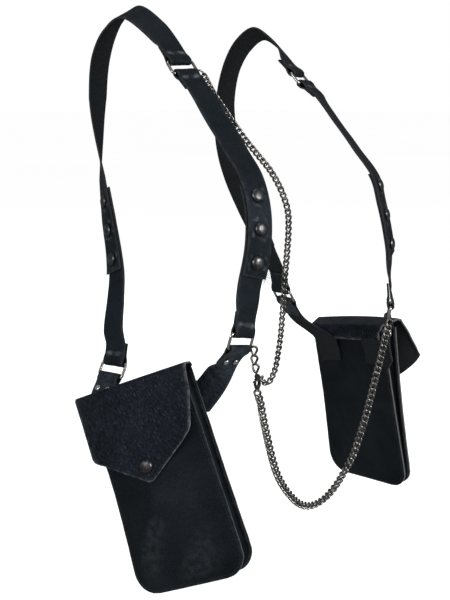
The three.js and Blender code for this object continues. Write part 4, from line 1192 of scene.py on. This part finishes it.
FLOOR_LEVEL, FLOOR_REACH = -0.62, 30
LIT_PLACE = Vector((0, -0.04, -0.27))  # what the lamps point at
CAMERA_TARGET, CAMERA_DISTANCE = Vector((0, -0.038, -0.286)), 1.2
CAMERA_TURN, CAMERA_RISE = 45, 10
SENSOR, LENS = 36, 69.9


def build_floor():
    """Pale floor, which mirrors nothing and isn't mirrored."""
    x, z = FLOOR_REACH, FLOOR_LEVEL
    mesh = bpy.data.meshes.new("floor")
    mesh.from_pydata([(-x, -x, z), (x, -x, z), (x, x, z), (-x, x, z)], [], [(0, 1, 2, 3)])
    pale = Nodes("pale_floor")
    cloud = pale.noise(pale.space("Object"), 0.6, 2.0, 0.5)
    mesh.materials.append(pale.finish(
        Base_Color=pale.ramp(cloud, [(0.3, (0.98, 0.98, 0.98)), (0.7, (0.99, 0.99, 0.99))]),
        Roughness=0.9, Specular_IOR_Level=0.0))
    floor = placed("floor", mesh)
    floor.visible_glossy = False


def build_world():
    """Even white light, dimmer in what the metal mirrors."""
    world = bpy.data.worlds.new("studio")
    bpy.context.scene.world = world
    world.use_nodes = True
    tree = world.node_tree
    mirrored = tree.nodes.new("ShaderNodeLightPath").outputs["Is Glossy Ray"]
    strength = tree.nodes.new("ShaderNodeMapRange")
    tree.links.new(mirrored, strength.inputs[0])
    strength.inputs[3].default_value, strength.inputs[4].default_value = 1.0, 0.16
    tree.nodes["Background"].inputs["Color"].default_value = (1, 1, 1, 1)
    tree.links.new(strength.outputs[0], tree.nodes["Background"].inputs["Strength"])


def aimed(obj, place, way):
    """Puts a lamp or the camera at a place, looking along a way."""
    obj.location = place
    obj.rotation_mode = "QUATERNION"
    obj.rotation_quaternion = way.to_track_quat("-Z", "Y")


def soft_light(name, place, size, power, colour=(1, 1, 1)):
    light = bpy.data.lights.new(name, "AREA")
    light.shape, light.size, light.energy, light.color = "DISK", size, power, colour
    lamp = placed(name, light)
    aimed(lamp, place, LIT_PLACE - Vector(place))
    return lamp


def build_camera():
    camera = bpy.data.cameras.new("camera")
    camera.sensor_width, camera.lens = SENSOR, LENS
    camera.clip_start, camera.clip_end = 0.01, 200
    holder = placed("camera", camera)
    back = Vector((-cosine(CAMERA_RISE) * sine(CAMERA_TURN), -cosine(CAMERA_RISE) * cosine(CAMERA_TURN),
                   sine(CAMERA_RISE)))
    aimed(holder, CAMERA_TARGET + back * CAMERA_DISTANCE, -back)
    bpy.context.scene.camera = holder


build_floor()
build_world()
soft_light("key", (0.25, -1.9, 0.3), 0.8, 14)
soft_light("side", (-1.9, -0.3, 0.35), 1.0, 9)
soft_light("top", (0.1, 0.1, 1.5), 1.3, 2.5)
soft_light("back", (1.3, 1.5, 0.4), 1.2, 12, (0.85, 1.0, 0.93)).visible_glossy = False
build_camera()
bpy.context.scene.view_settings.view_transform = "Standard"
